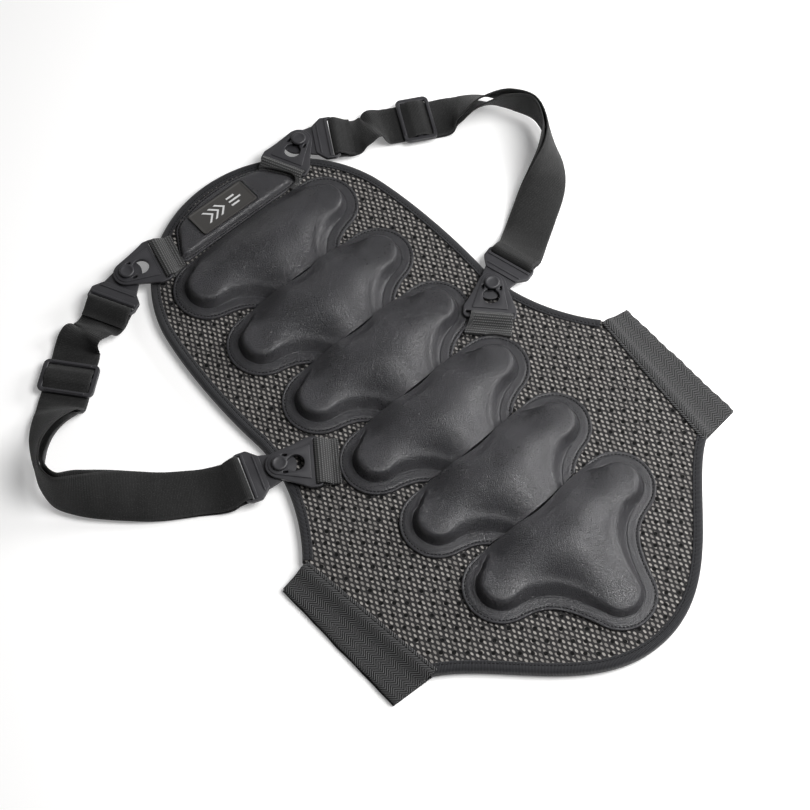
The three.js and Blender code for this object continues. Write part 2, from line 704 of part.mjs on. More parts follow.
function buildStrap(name, strap) {
  const steps = 50;
  const frames = strapFrames(strap, steps);
  const outer = layerFrames(frames, 1);
  const sliderStep = Math.round(steps / (strap.route.length + 2));
  const inner = layerFrames(frames.slice(sliderStep), -1);
  const solid = (line) => webbingSolid(line, STRAP_WIDTH, STRAP_THICK);
  addPart(`strap_outer_${name}`, solid(outer), materials.webbing);
  addPart(`strap_inner_${name}`, solid(inner), materials.webbing);

  const barU = middle(STUD_BAR_U);
  const barZ = middle(STUD_PLATE_Z);
  const step = (frame, distance) => frame.centre.clone().addScaledVector(frame.travel, distance);

  // Upper end: under the bar, round it, and turned back on top, where it is sewn.
  const upper = buckleFrame(BUCKLES[`upper_${name}`], BUCKLES[`upper_${name}`].strap);
  const upperAcross = acrossOf(upper).multiplyScalar(-strap.inner);
  const turned = [[47, 10.4], [40, 13.6]].concat(aroundBar(barU, barZ, BAR_WRAP_R, 80, 280, 6));
  const upperLine = turned.map(lift(upper));
  upperLine.push(lift(upper)([41, 6.6]));
  upperLine.push(new THREE.Vector3(strap.lead[0], strap.lead[1], 4.6));
  upperLine.push(step(outer[0], -6), step(outer[0], -2 * GAP));
  const upperFrames = framesThrough(upperLine, upperAcross, outer[0].across, turned.length);
  addPart(`strap_end_upper_${name}`, solid(upperFrames), materials.webbing);

  // Lower end: the outer layer passes over the bar and comes back under it as the inner layer.
  const lower = buckleFrame(BUCKLES[`lower_${name}`], BUCKLES[`lower_${name}`].strap);
  const lowerAcross = acrossOf(lower).multiplyScalar(strap.inner);
  const wrap = [[41, 12.6]].concat(aroundBar(barU, barZ, BAR_WRAP_R, 80, 280, 6), [[41, 6.2]]);
  const wrapLine = wrap.map(lift(lower));
  const outerEnd = [step(outer.at(-1), GAP), step(outer.at(-1), 8)];
  const innerEnd = [step(inner.at(-1), 8), step(inner.at(-1), GAP)];
  outerEnd[1].z += 1.2;
  innerEnd[0].z += 0.9;
  const lowerLine = outerEnd.concat(wrapLine, innerEnd);
  const first = outer.at(-1).across;
  const lowerFrames = framesThrough(lowerLine, lowerAcross, lowerAcross);
  lowerFrames[0].across = first;
  lowerFrames.at(-1).across = inner.at(-1).across;
  addPart(`strap_end_lower_${name}`, solid(lowerFrames), materials.webbing);
}

// Three-bar slider, under the webbing, and the tab of webbing that wraps its middle bar.
function buildSlider(name, strap) {
  const half = SLIDER_LENGTH / 2;
  const corner = 5;
  const wide = SLIDER_HALF_WIDTH;
  const shape = new THREE.Shape();
  shape.moveTo(-half + corner, -wide);
  shape.lineTo(half - corner, -wide);
  shape.quadraticCurveTo(half, -wide, half, -wide + corner);
  shape.lineTo(half, wide - corner);
  shape.quadraticCurveTo(half, wide, half - corner, wide);
  shape.lineTo(-half + corner, wide);
  shape.quadraticCurveTo(-half, wide, -half, wide - corner);
  shape.lineTo(-half, -wide + corner);
  shape.quadraticCurveTo(-half, -wide, -half + corner, -wide);
  let frame = toSolid(slabFromShape(shape, ...SLIDER_Z, 4));
  const slotLength = half - SLIDER_BAR - SLIDER_BAR / 2;
  for (const side of [1, -1]) {
    const slot = new THREE.BoxGeometry(slotLength, 2 * SLOT_HALF, 10);
    slot.translate(side * (half - SLIDER_BAR - slotLength / 2), 0, middle(SLIDER_Z));
    frame = frame.subtract(toSolid(slot));
  }
  const { at, angle } = strap.slider;
  const matrix = new THREE.Matrix4().makeRotationZ(rad(angle)).setPosition(at[0], at[1], 0);
  addPart(`slider_${name}`, toGeometry(frame), materials.plastic, matrix);
  const crown = SLIDER_Z[1] + GAP + STRAP_THICK / 2;
  const foot = SLIDER_Z[0] + STRAP_THICK / 2;
  const hump = [[-10.4, foot], [-9, foot + 0.6], [-6, crown - 0.8], [-3, crown], [3, crown],
    [6, crown - 0.8], [9, foot + 0.6], [10.4, foot]];
  const across = acrossOf(matrix);
  const line = framesThrough(hump.map(lift(matrix)), across, across);
  const wrap = webbingSolid(line, STRAP_WIDTH, STRAP_THICK);
  addPart(`slider_wrap_${name}`, wrap, materials.webbing);
}

// ---- Assembly ----------------------------------------------------------------------------

buildPanel();
buildBinding();
buildTabs();
const plateRoom = buildPlates();
buildNeckPatch();
buildBuckles(plateRoom);
for (const [name, strap] of Object.entries(STRAPS)) {
  buildStrap(name, strap);
  buildSlider(name, strap);
}

export default group;
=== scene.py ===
import math

import bmesh
import bpy
import numpy as np
from mathutils import Matrix, Vector, noise
from mathutils.geometry import delaunay_2d_cdt


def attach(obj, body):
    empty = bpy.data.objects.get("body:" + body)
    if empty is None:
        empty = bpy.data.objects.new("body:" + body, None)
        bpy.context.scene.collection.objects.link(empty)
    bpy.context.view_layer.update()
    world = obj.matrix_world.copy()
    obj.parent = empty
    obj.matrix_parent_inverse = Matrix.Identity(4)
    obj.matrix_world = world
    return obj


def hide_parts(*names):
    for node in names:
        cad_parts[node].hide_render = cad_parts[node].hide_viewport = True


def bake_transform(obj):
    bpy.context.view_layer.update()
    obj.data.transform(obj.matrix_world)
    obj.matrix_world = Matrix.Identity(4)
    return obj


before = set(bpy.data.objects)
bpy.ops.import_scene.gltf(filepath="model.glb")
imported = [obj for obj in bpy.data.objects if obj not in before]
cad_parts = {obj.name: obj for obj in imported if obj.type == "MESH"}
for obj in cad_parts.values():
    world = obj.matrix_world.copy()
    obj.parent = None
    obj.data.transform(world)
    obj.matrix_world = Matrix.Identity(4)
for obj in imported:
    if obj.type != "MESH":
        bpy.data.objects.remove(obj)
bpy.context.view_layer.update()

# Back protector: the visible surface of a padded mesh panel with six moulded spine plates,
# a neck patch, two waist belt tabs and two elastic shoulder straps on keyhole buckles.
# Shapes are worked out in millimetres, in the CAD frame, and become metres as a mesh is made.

MM = 0.001

# Panel, from the wearer's side up.
NECK_Y = 258
SHOULDER = (113, 171)
WAIST = (120, 40)
HIP = (160.5, -61.5)
HEM = (144.5, -187)
TAIL_Y = -281
LINING_TOP = 2.1
FOAM_TOP = 6.4
MESH_TOP = 8.6
PLATE_BASE = 8.9
BINDING_WIDTH = 8
BINDING_WALL = 1
BINDING_TOP = 9.7
RIPPLE_HEIGHT = 0.18
RIPPLE_SIZE = 17

# Waist belt tabs.
TAB_OUTER_HIP = (181.2, -64)
TAB_OUTER_HEM = (178, -184.5)
TAB_LAP = 6
TAB_SEAM = -3.4

# Spine plates.
PLATE_COUNT = 6
PLATE_PITCH = 69.2
LOBE_X = 61
LOBE_Y = 1.5
LOBE_R = 29.5
PLATE_TOP_EDGE = 31
PLATE_TOP_DIP = 7
PLATE_TAIL = 89.5
CROWN_TOP = 32
CROWN_MIDDLE = (0, -8)
FLANGE_TOP = 2.2
PLATE_GAP = 0.5
PLATE_TOP_GAP = 1.6

# Webbing and buckles.
STRAP_WIDTH = 38
STRAP_THICK = 1.6
LAYER_GAP = 1.2
LAP = 4
LAP_EASE = 0.1
LEAD_TWIST = 0.32
ANCHOR_THICK = 1.4
ANCHOR_GAP = 0.4
BUCKLE_HALF = 21.5
SLOT_HALF = 19.5
STUD_PLATE_Z = (10, 13.4)
KEY_PLATE_Z = (12.5, 15.7)
KEY_BAR = (-30.75, sum(KEY_PLATE_Z) / 2)
STUD_BAR = (32, sum(STUD_PLATE_Z) / 2)
STUD_HEAD_R = 6.2
STUD_POST_R = 2.6
STUD_TOP = 18.8
BAR_WRAP_R = 3.5
SLIDER_LENGTH = 29
SLIDER_HALF_WIDTH = 23
SLIDER_HOLE_HALF = 18.9
SLIDER_Z = (5, 8)

# Each buckle: stud position, direction from the panel to the stud, direction of the strap.
BUCKLES = {
    "upper_right": ((87, 237.5), 24, -31),
    "upper_left": ((-103, 228), 166, 206),
    "lower_right": ((111.5, 22.5), 43, 14),
    "lower_left": ((-120.5, 12), 144, 160),
}

# Each strap: side of its inner edge, slider place and angle, lead-in, route of x, y and roll.
STRAPS = {
    "right": (1, (181, 192), -29, (137.5, 211), [
        (209, 176.5, 8), (216, 171.5, 24), (231, 160, 50), (247, 145, 70), (256, 124, 80),
        (248, 100, 78), (236, 83, 62), (219, 69.5, 36), (196, 57, 10), (175, 45.5, 0)]),
    "left": (-1, (-195, 185), 219, (-156, 207), [
        (-217.5, 166.5, 8), (-223, 162, 23), (-239, 149, 50), (-253, 136, 72),
        (-263, 121, 80), (-263, 104.5, 76), (-251, 92, 60), (-229, 75, 34),
        (-205, 56.5, 10), (-181, 41, 0)]),
}
STRAIGHT = 23

# Stitches: length and radius of the thread. Then their spacing along tapes and mouldings.
TAPE_STITCH = (2.2, 0.3)
TAB_STITCH = (2.2, 0.34)
PLATE_STITCH = (2.0, 0.4)
PATCH_STITCH = (2.0, 0.38)
END_STITCH = (1.9, 0.32)
TAPE_PITCH = 3
MOULDING_PITCH = 2.9

# Steps of the outlines, and of the triangles that fill them.
PANEL_STEP = 3
SMALL_STEP = 0.7
FACE_GRID = 6
LINING_GRID = 8
PATCH_GRID = 4
CROWN_GRID = 3.2

# Top of the prisms that cut one piece clear of another.
CUTTER_TOP = 60

# Angles in degrees over which an edge shows as sharp.
SHARP_WEBBING = 65
SHARP_CUT = 60
SHARP_MOULDING = 48
SHARP_LABEL = 40
SHARP_PLASTIC = 38

# Camera, in metres, and the light given by the room and by the floor itself.
CAMERA_LENS = 70.67
CAMERA_PLACE = (-0.3981, -0.4432, 1.1115)
CAMERA_AIM = (-0.0098, -0.0075, 0)
ROOM_GLOW = 0.09
FLOOR_GLOW = 0.22
FLOOR_Z = -0.6
FLOOR_HALF = 4000


# ---- Camera, light and floor -------------------------------------------------------------

def linked(name, data):
    """A new object for a camera, a light, a mesh or a curve."""
    obj = bpy.data.objects.new(name, data)
    bpy.context.scene.collection.objects.link(obj)
    return obj


def aimed(name, data, place, target):
    obj = linked(name, data)
    obj.location = place
    direction = Vector(target) - Vector(place)
    obj.rotation_euler = direction.to_track_quat("-Z", "Y").to_euler()
    return obj


def add_camera():
    data = bpy.data.cameras.new("camera")
    data.lens = CAMERA_LENS
    bpy.context.scene.camera = aimed("camera", data, CAMERA_PLACE, CAMERA_AIM)


def add_softbox(name, place, target, size, watts):
    data = bpy.data.lights.new(name, "AREA")
    data.shape = "RECTANGLE"
    data.size, data.size_y = size
    data.energy = watts
    aimed(name, data, place, target)


def add_studio():
    middle = (0, 0, 0.02)
    add_softbox("key_softbox", (0.36, -0.42, 1.0), (0, -0.15, 0.02), (0.6, 0.6), 15)
    add_softbox("side_softbox", (1.1, -0.3, 0.5), middle, (0.6, 0.3), 11)
    add_softbox("back_softbox", (0.5, 1.3, 0.9), middle, (1.0, 0.6), 2)
    world = bpy.data.worlds.new("studio")
    world.use_nodes = True
    background = world.node_tree.nodes["Background"]
    background.inputs["Color"].default_value = (1, 1, 1, 1)
    background.inputs["Strength"].default_value = ROOM_GLOW
    bpy.context.scene.world = world
    bpy.context.scene.view_settings.view_transform = "Standard"
    signs = ((-1, -1), (1, -1), (1, 1), (-1, 1))
    corners = [(x * FLOOR_HALF, y * FLOOR_HALF, FLOOR_Z) for x, y in signs]
    floor = make_mesh("studio_floor", corners, [(0, 1, 2, 3)])
    floor.data.materials.append(Graph("studio_floor").finish(
        (0.9, 0.895, 0.89, 1), 0.9, specular_ior_level=0.1, emission_color=(1, 1, 1, 1),
        emission_strength=FLOOR_GLOW))


# ---- Curves and outlines -----------------------------------------------------------------

def smoothstep(low, high, x):
    t = np.clip((np.asarray(x, float) - low) / (high - low), 0, 1)
    return t * t * (3 - 2 * t)


def mix(a, b, t):
    return a + (b - a) * t


def bezier(*controls, steps=24):
    t = np.linspace(0, 1, steps + 1)[:, None]
    rows = [np.asarray(point, float)[None] + 0 * t for point in controls]
    while len(rows) > 1:
        rows = [mix(a, b, t) for a, b in zip(rows, rows[1:])]
    return rows[0]


def arc(centre, radius, start, end, steps=24):
    angle = np.radians(np.linspace(start, end, steps + 1))
    return np.asarray(centre) + radius * np.column_stack([np.cos(angle), np.sin(angle)])


def chained(*parts):
    """Curves end to end, each without the point that the next one starts with."""
    return np.vstack([part[:-1] for part in parts[:-1]] + [parts[-1]])


def mirrored(points):
    return (np.asarray(points) * (-1, 1))[::-1]


def both_halves(half, step, passes=0):
    """The closed outline whose right half is given, in even steps and with its corners eased."""
    whole = np.vstack([half, mirrored(half)[1:-1]])
    return relaxed(even(whole, step, closed=True), passes)


def travelled(path):
    """The distance along a path at each of its points."""
    return np.concatenate([[0], np.cumsum(np.linalg.norm(np.diff(path, axis=0), axis=1))])


def even(points, step, closed=False):
    path = np.vstack([points, points[:1]]) if closed else np.asarray(points, float)
    at = travelled(path)
    places = np.linspace(0, at[-1], max(2, round(at[-1] / step)) + 1)
    if closed:
        places = places[:-1]
    return np.column_stack([np.interp(places, at, column) for column in path.T])


def relaxed(points, passes):
    """A closed outline with its corners eased."""
    for _ in range(passes):
        points = points + 0.5 * ((np.roll(points, 1, 0) + np.roll(points, -1, 0)) / 2 - points)
    return points


def outward(points):
    """Unit normals of a closed outline that runs clockwise seen from above."""
    along = np.roll(points, -1, 0) - np.roll(points, 1, 0)
    along /= np.linalg.norm(along, axis=1)[:, None]
    return np.column_stack([-along[:, 1], along[:, 0]])


def drawn_in(points, depth):
    """A closed outline moved inward in small steps that ease its corners."""
    steps = max(1, math.ceil(depth))
    for _ in range(steps):
        points = relaxed(points - outward(points) * depth / steps, 1)
    return points


def shrunk(points, depth):
    """An outline drawn smaller about the middle of its box, by a distance on every side."""
    low, high = points.min(0), points.max(0)
    middle = (low + high) / 2
    return middle + (points - middle) * (1 - 2 * depth / (high - low))


def unit(vectors):
    return vectors / np.maximum(np.linalg.norm(vectors, axis=-1, keepdims=True), 1e-9)


def through(points, steps_each):
    """A centripetal Catmull-Rom curve through rows of any width, which are spaced by x, y, z."""
    rows = np.asarray(points, float)
    rows = np.vstack([2 * rows[0] - rows[1], rows, 2 * rows[-1] - rows[-2]])
    result = []
    for p0, p1, p2, p3 in zip(rows, rows[1:], rows[2:], rows[3:]):
        d0, d1, d2 = [max(np.linalg.norm((b - a)[:3]), 1e-4) ** 0.5
                      for a, b in ((p0, p1), (p1, p2), (p2, p3))]
        m1 = d1 * ((p1 - p0) / d0 - (p2 - p0) / (d0 + d1) + (p2 - p1) / d1)
        m2 = d1 * ((p2 - p1) / d1 - (p3 - p1) / (d1 + d2) + (p3 - p2) / d2)
        for t in np.arange(steps_each) / steps_each:
            result.append((2 * t**3 - 3 * t**2 + 1) * p1 + (t**3 - 2 * t**2 + t) * m1
                          + (3 * t**2 - 2 * t**3) * p2 + (t**3 - t**2) * m2)
    return np.array(result + [rows[-2]])


# ---- Meshes ------------------------------------------------------------------------------

def make_mesh(name, points, faces, lay=None):
    """A smooth mesh object; lay is each point's place on the cloth, in millimetres."""
    mesh = bpy.data.meshes.new(name)
    corners = [list(map(int, face)) for face in faces]
    mesh.from_pydata((np.asarray(points, float) * MM).tolist(), [], corners)
    mesh.shade_smooth()
    if lay is not None:
        attribute = mesh.attributes.new("lay", "FLOAT_VECTOR", "POINT")
        attribute.data.foreach_set("vector", np.asarray(lay, np.float32).ravel())
    return linked(name, mesh)


def face_out(obj, merge=None):
    """Turns every face outward, after merging points that lie closer than merge."""
    build = bmesh.new()
    build.from_mesh(obj.data)
    if merge:
        bmesh.ops.remove_doubles(build, verts=build.verts, dist=merge * MM)
    bmesh.ops.recalc_face_normals(build, faces=build.faces)
    build.to_mesh(obj.data)
    build.free()
    return obj


def solid(name, points, faces, lay=None):
    return face_out(make_mesh(name, points, faces, lay))


def sharpen(obj, degrees):
    obj.data.set_sharp_from_angle(angle=math.radians(degrees))
    return obj


def drop(obj):
    bpy.data.objects.remove(obj, do_unlink=True)


def applied(obj):
    """The same object with its modifiers, or its curve, turned into a plain mesh."""
    bpy.context.view_layer.update()
    shown = obj.evaluated_get(bpy.context.evaluated_depsgraph_get())
    mesh = bpy.data.meshes.new_from_object(shown)
    mesh.name = obj.name
    if obj.type == "MESH":
        obj.modifiers.clear()
        obj.data = mesh
        return obj
    name = obj.name
    drop(obj)
    return linked(name, mesh)


def combined(obj, tool, operation):
    modifier = obj.modifiers.new("combine", "BOOLEAN")
    modifier.operation = operation
    modifier.solver = "EXACT"
    modifier.object = tool
    applied(obj)
    drop(tool)
    return obj


def sleeve(rings, count, first=0):
    """Quads between closed rings of points that follow each other from the point first."""
    return [(start + i, start + (i + 1) % count, start + count + (i + 1) % count, start + count + i)
            for start in range(first, first + (rings - 1) * count, count) for i in range(count)]


def capped(rings, count, first=0):
    """The same with its two ends closed."""
    last = first + (rings - 1) * count
    ends = [range(first, first + count)[::-1], range(last, last + count)]
    return sleeve(rings, count, first) + ends


def prism(name, outline, bottom, top):
    points = [(x, y, z) for z in (bottom, top) for x, y in outline]
    return solid(name, points, capped(2, len(outline)))


def is_inside(points, outline):
    x, y = points[:, :1], points[:, 1:]
    ax, ay = outline.T
    bx, by = np.roll(outline, -1, 0).T
    rise = np.where(by == ay, 1e-9, by - ay)
    crosses = ((ay > y) != (by > y)) & (x < (bx - ax) * (y - ay) / rise + ax)
    return crosses.sum(1) % 2 == 1


def filled(outline, step):
    """Points of a hexagonal grid inside an outline, and triangles over both."""
    low, high = outline.min(0), outline.max(0)
    rows = np.arange(low[1], high[1], step * math.sqrt(3) / 2)
    reach = math.ceil((high[0] - low[0]) / step / 2) + 1
    middle = (low[0] + high[0]) / 2
    grid = np.array([(middle + (column + 0.5 * (row % 2)) * step, y)
                     for row, y in enumerate(rows) for column in range(-reach, reach)])
    grid = grid[is_inside(grid, outline)]
    gap = np.sqrt(((grid[:, None] - outline[None]) ** 2).sum(2)).min(1)
    grid = grid[gap > 0.6 * step]
    count = len(outline)
    points = [Vector(p) for p in np.vstack([outline, grid])]
    edges = [(i, (i + 1) % count) for i in range(count)]
    _, _, faces, origin, _, _ = delaunay_2d_cdt(points, edges, [], 1, 1e-5)
    return grid, [[origin[corner][0] for corner in face] for face in faces]


class Laplacian:
    """The cotangent Laplacian of a flat triangle mesh, and each point's share of the area."""

    def __init__(self, points, faces):
        self.count = len(points)
        self.area = np.zeros(self.count)
        starts, ends, weights = [], [], []
        a, b, c = faces.T
        for i, j, k in ((a, b, c), (b, c, a), (c, a, b)):
            u, v = points[i] - points[k], points[j] - points[k]
            doubled = np.abs(u[:, 0] * v[:, 1] - u[:, 1] * v[:, 0])
            weight = (u * v).sum(1) / np.maximum(doubled, 1e-6) / 2
            starts += [i, j]
            ends += [j, i]
            weights += [weight, weight]
            np.add.at(self.area, k, doubled / 6)
        self.starts, self.ends, self.weights = map(np.concatenate, (starts, ends, weights))

    def __call__(self, values):
        pull = self.weights * (values[self.ends] - values[self.starts])
        return np.bincount(self.starts, pull, self.count)


def bending(laplacian, free, values):
    """The Laplacian applied twice, on a plate that can hinge along its held edge."""
    curvature = np.where(free, laplacian(values) / laplacian.area, 0)
    return laplacian(curvature)[free]


def bent(laplacian, free, target):
    """The free values whose bending, the Laplacian applied twice, is the target."""
    def apply(values):
        whole = np.zeros(laplacian.count)
        whole[free] = values
        return bending(laplacian, free, whole)

    values = np.zeros(free.sum())
    rest = target.copy()
    step = rest.copy()
    size = goal = rest @ rest
    for _ in range(6000):
        pushed = apply(step)
        share = size / (step @ pushed)
        values += share * step
        rest -= share * pushed
        before, size = size, rest @ rest
        if size < 1e-16 * goal:
            break
        step = rest + size / before * step
    return values


def crowned(points, faces, heights, free):
    """Heights of the free points as a thin plate hinged along the fixed ones.

    Its load is the one that brings the point nearest to the crown's middle to its height."""
    laplacian = Laplacian(points, faces)
    held = np.where(free, 0, heights)
    base = bent(laplacian, free, -bending(laplacian, free, held))
    load = bent(laplacian, free, laplacian.area[free])
    nearest = np.argmin(((points[free] - CROWN_MIDDLE) ** 2).sum(1))
    result = heights.copy()
    result[free] = base + (CROWN_TOP - PLATE_BASE - base[nearest]) / load[nearest] * load
    return result


# ---- Cloth strips ------------------------------------------------------------------------

def ribbon(name, centres, across, width, thick, start=0.0):
    """A closed strip of webbing along a line of centres, round at its edges.

    Its width lies along across, and its length is counted from start."""
    centres = np.asarray(centres, float)
    travel = unit(np.gradient(centres, axis=0))
    across = np.asarray(across, float)
    across = unit(across - travel * (across * travel).sum(1)[:, None])
    normal = np.cross(travel, across)
    side, half = np.linspace(-1, 1, 13), np.ones(13)
    side[[1, -2]] = -0.965, 0.965
    half[[0, 1, -2, -1]] = 0.35, 0.9, 0.9, 0.35
    side = np.concatenate([side, side[::-1]])[None] * width / 2
    half = np.concatenate([half, -half[::-1]])[None] * thick / 2
    rings = centres[:, None] + across[:, None] * side[..., None] + normal[:, None] * half[..., None]
    length = start + travelled(centres)
    lay = np.stack(np.broadcast_arrays(length[:, None], side, half), -1)
    faces = capped(len(centres), side.size)
    webbing = solid(name, rings.reshape(-1, 3), faces, lay.reshape(-1, 3))
    return sharpen(webbing, SHARP_WEBBING), length[-1]


def swept(name, path, section):
    """A closed section carried along a flat path; section is (inward, height) pairs."""
    path = np.asarray(path, float)
    section = np.asarray(section, float)
    along = unit(np.gradient(path, axis=0))
    inward = np.column_stack([along[:, 1], -along[:, 0]])
    flat = path[:, None] + inward[:, None] * section[None, :, :1]
    rings = np.dstack([flat, np.broadcast_to(section[None, :, 1], flat.shape[:2])])
    turn = travelled(section)[None]
    lay = np.stack(np.broadcast_arrays(travelled(path)[:, None], turn, 0.0 * turn), -1)
    return solid(name, rings.reshape(-1, 3), capped(len(path), len(section)), lay.reshape(-1, 3))


# Along a stitch: share of its length from its middle, share of its radius, and rise.
STITCH = [(-0.5, 0.15, -0.5), (-0.34, 0.8, 0.0), (0, 1, 0.25), (0.34, 0.8, 0.0), (0.5, 0.15, -0.5)]


def sew(name, path, stitch, body="panel", closed=False):
    """Stitches as one piece; path has one point for each stitch's middle."""
    length, radius = stitch
    path = np.asarray(path, float)
    along = np.roll(path, -1, 0) - np.roll(path, 1, 0) if closed else np.gradient(path, axis=0)
    along = unit(along)
    side = unit(np.cross(along, (0, 0, 1)))
    up = np.cross(side, along)
    sides = 6
    points, faces = [], []
    for place, a, s, u in zip(path, along, side, up):
        faces += capped(len(STITCH), sides, len(points))
        for reach, swell, rise in STITCH:
            for k in range(sides):
                angle = 2 * math.pi * k / sides
                points.append(place + a * reach * length + u * rise * radius
                              + radius * swell * (s * math.cos(angle) + u * math.sin(angle)))
    finish_piece(solid(name, points, faces), body, "thread")


# ---- Materials ---------------------------------------------------------------------------

class Value:
    """A socket of a material's node tree that can be used in sums."""

    def __init__(self, graph, socket):
        self.graph = graph
        self.socket = socket

    def __add__(self, other):
        return self.graph.math("ADD", self, other)

    def __sub__(self, other):
        return self.graph.math("SUBTRACT", self, other)

    def __rsub__(self, other):
        return self.graph.math("SUBTRACT", other, self)

    def __mul__(self, other):
        return self.graph.math("MULTIPLY", self, other)


class Graph:
    """A new material, with short names for the nodes that its surface is made of."""

    def __init__(self, name):
        self.material = bpy.data.materials.new(name)
        self.material.use_nodes = True
        self.tree = self.material.node_tree
        self.shader = self.tree.nodes["Principled BSDF"]

    def node(self, kind, **settings):
        node = self.tree.nodes.new(kind)
        for name, value in settings.items():
            setattr(node, name, value)
        return node

    def feed(self, socket, value):
        if isinstance(value, Value):
            self.tree.links.new(value.socket, socket)
        else:
            socket.default_value = value

    def fed(self, node, *values):
        for socket, value in zip(node.inputs, values):
            self.feed(socket, value)
        return Value(self, node.outputs[0])

    def math(self, operation, *values):
        return self.fed(self.node("ShaderNodeMath", operation=operation), *values)

    def split(self, vector):
        node = self.node("ShaderNodeSeparateXYZ")
        self.feed(node.inputs[0], vector)
        return [Value(self, socket) for socket in node.outputs]

    def vector(self, x, y, z=0):
        return self.fed(self.node("ShaderNodeCombineXYZ"), x, y, z)

    def place(self):
        """The point in the part's own frame, in millimetres."""
        node = self.node("ShaderNodeVectorMath", operation="SCALE")
        self.tree.links.new(self.node("ShaderNodeTexCoord").outputs["Object"], node.inputs[0])
        node.inputs["Scale"].default_value = 1 / MM
        return Value(self, node.outputs[0])

    def lay(self):
        """The point on the flat cloth, in millimetres: length, across, and both in one."""
        node = self.node("ShaderNodeAttribute", attribute_name="lay")
        length, across, _ = self.split(Value(self, node.outputs["Vector"]))
        return length, across, self.vector(length, across)

    def texture(self, node, vector, **fixed):
        self.feed(node.inputs["Vector"], vector)
        for name, value in fixed.items():
            node.inputs[name].default_value = value
        return Value(self, node.outputs[0])

    def noise(self, vector, size, detail=2):
        return self.texture(self.node("ShaderNodeTexNoise"), vector, Scale=1 / size, Detail=detail)

    def cells(self, vector, size, feature="F1"):
        node = self.node("ShaderNodeTexVoronoi", feature=feature)
        return self.texture(node, vector, Scale=1 / size)

    def speckle(self, vector):
        return self.texture(self.node("ShaderNodeTexWhiteNoise"), vector)

    def remap(self, value, low, high, to_low=0, to_high=1, smooth=True):
        kind = "SMOOTHSTEP" if smooth else "LINEAR"
        node = self.node("ShaderNodeMapRange", interpolation_type=kind)
        return self.fed(node, value, low, high, to_low, to_high)

    def wave(self, value, pitch):
        """From -1 to 1, once for each pitch."""
        return self.math("SINE", value * (2 * math.pi / pitch))

    def wrapped(self, value, pitch):
        """The distance to the middle of the cell that the value is in."""
        return self.math("WRAP", value, pitch / 2, -pitch / 2)

    def blend(self, factor, a, b):
        node = self.node("ShaderNodeMix", data_type="RGBA")
        self.feed(node.inputs[0], factor)
        for socket, colour in zip(node.inputs[6:8], (a, b)):
            self.feed(socket, colour if isinstance(colour, Value) else (*colour, 1))
        return Value(self, node.outputs[2])

    def finish(self, colour, roughness, height=None, depth=0, second=None, second_depth=0, **fixed):
        """Sets the surface; depths are the heights of the bumps in millimetres."""
        self.feed(self.shader.inputs["Base Color"], colour)
        self.feed(self.shader.inputs["Roughness"], roughness)
        normal = None
        for relief, relief_depth in ((second, second_depth), (height, depth)):
            if relief is None:
                continue
            bump = self.node("ShaderNodeBump")
            bump.inputs["Distance"].default_value = relief_depth * MM
            self.feed(bump.inputs["Height"], relief)
            if normal:
                self.feed(bump.inputs["Normal"], normal)
            normal = Value(self, bump.outputs[0])
        if normal:
            self.feed(self.shader.inputs["Normal"], normal)
        for name, value in fixed.items():
            socket = name.replace("_", " ").title().replace("Ior", "IOR")
            self.shader.inputs[socket].default_value = value
        return self.material


def grey(level, tint=(1, 1, 1)):
    return tuple(level * part for part in tint)


COOL = (0.99, 0.97, 1.09)
WARM = (1.06, 1.0, 0.94)

# The spacer mesh, in millimetres: pitches and radii of its eyes, pitches and place of its holes.
EYE_PITCH = (4.3, 7.5)
EYE_RADIUS = (1.0, 1.8)
HOLE_PITCH = (14.1, 12.75)
HOLE_PLACE = (1.4, 0.9)


def flecked(name, size, low, high, roughness, depth, detail=2, **fixed):
    """A plain moulded, printed or spun surface with fine flecks."""
    graph = Graph(name)
    fleck = graph.noise(graph.place(), size, detail)
    return graph.finish(graph.blend(fleck, low, high), roughness, fleck, depth, **fixed)


def leather():
    graph = Graph("grained_leather")
    at = graph.place()
    grain = graph.cells(at, 1.15, "DISTANCE_TO_EDGE")
    fine = graph.noise(at, 1.1, 3)
    broad = graph.noise(at, 24, 3)
    level = graph.remap(broad, 0.3, 0.7)
    colour = graph.blend(level, grey(0.025, COOL), grey(0.033, COOL))
    # The grain's crease lines are painted darker than the leather between them: painted shade in
    # the creases, on top of their bump.
    creases = graph.remap(grain, 0.0, 0.14)
    colour = graph.blend(creases, grey(0.019, COOL), colour)
    roughness = graph.remap(broad, 0.3, 0.7, 0.32, 0.38) + graph.remap(fine, 0.3, 0.7, -0.07, 0.07)
    return graph.finish(colour, roughness, creases, 0.18, fine, 0.32, specular_ior_level=0.6)


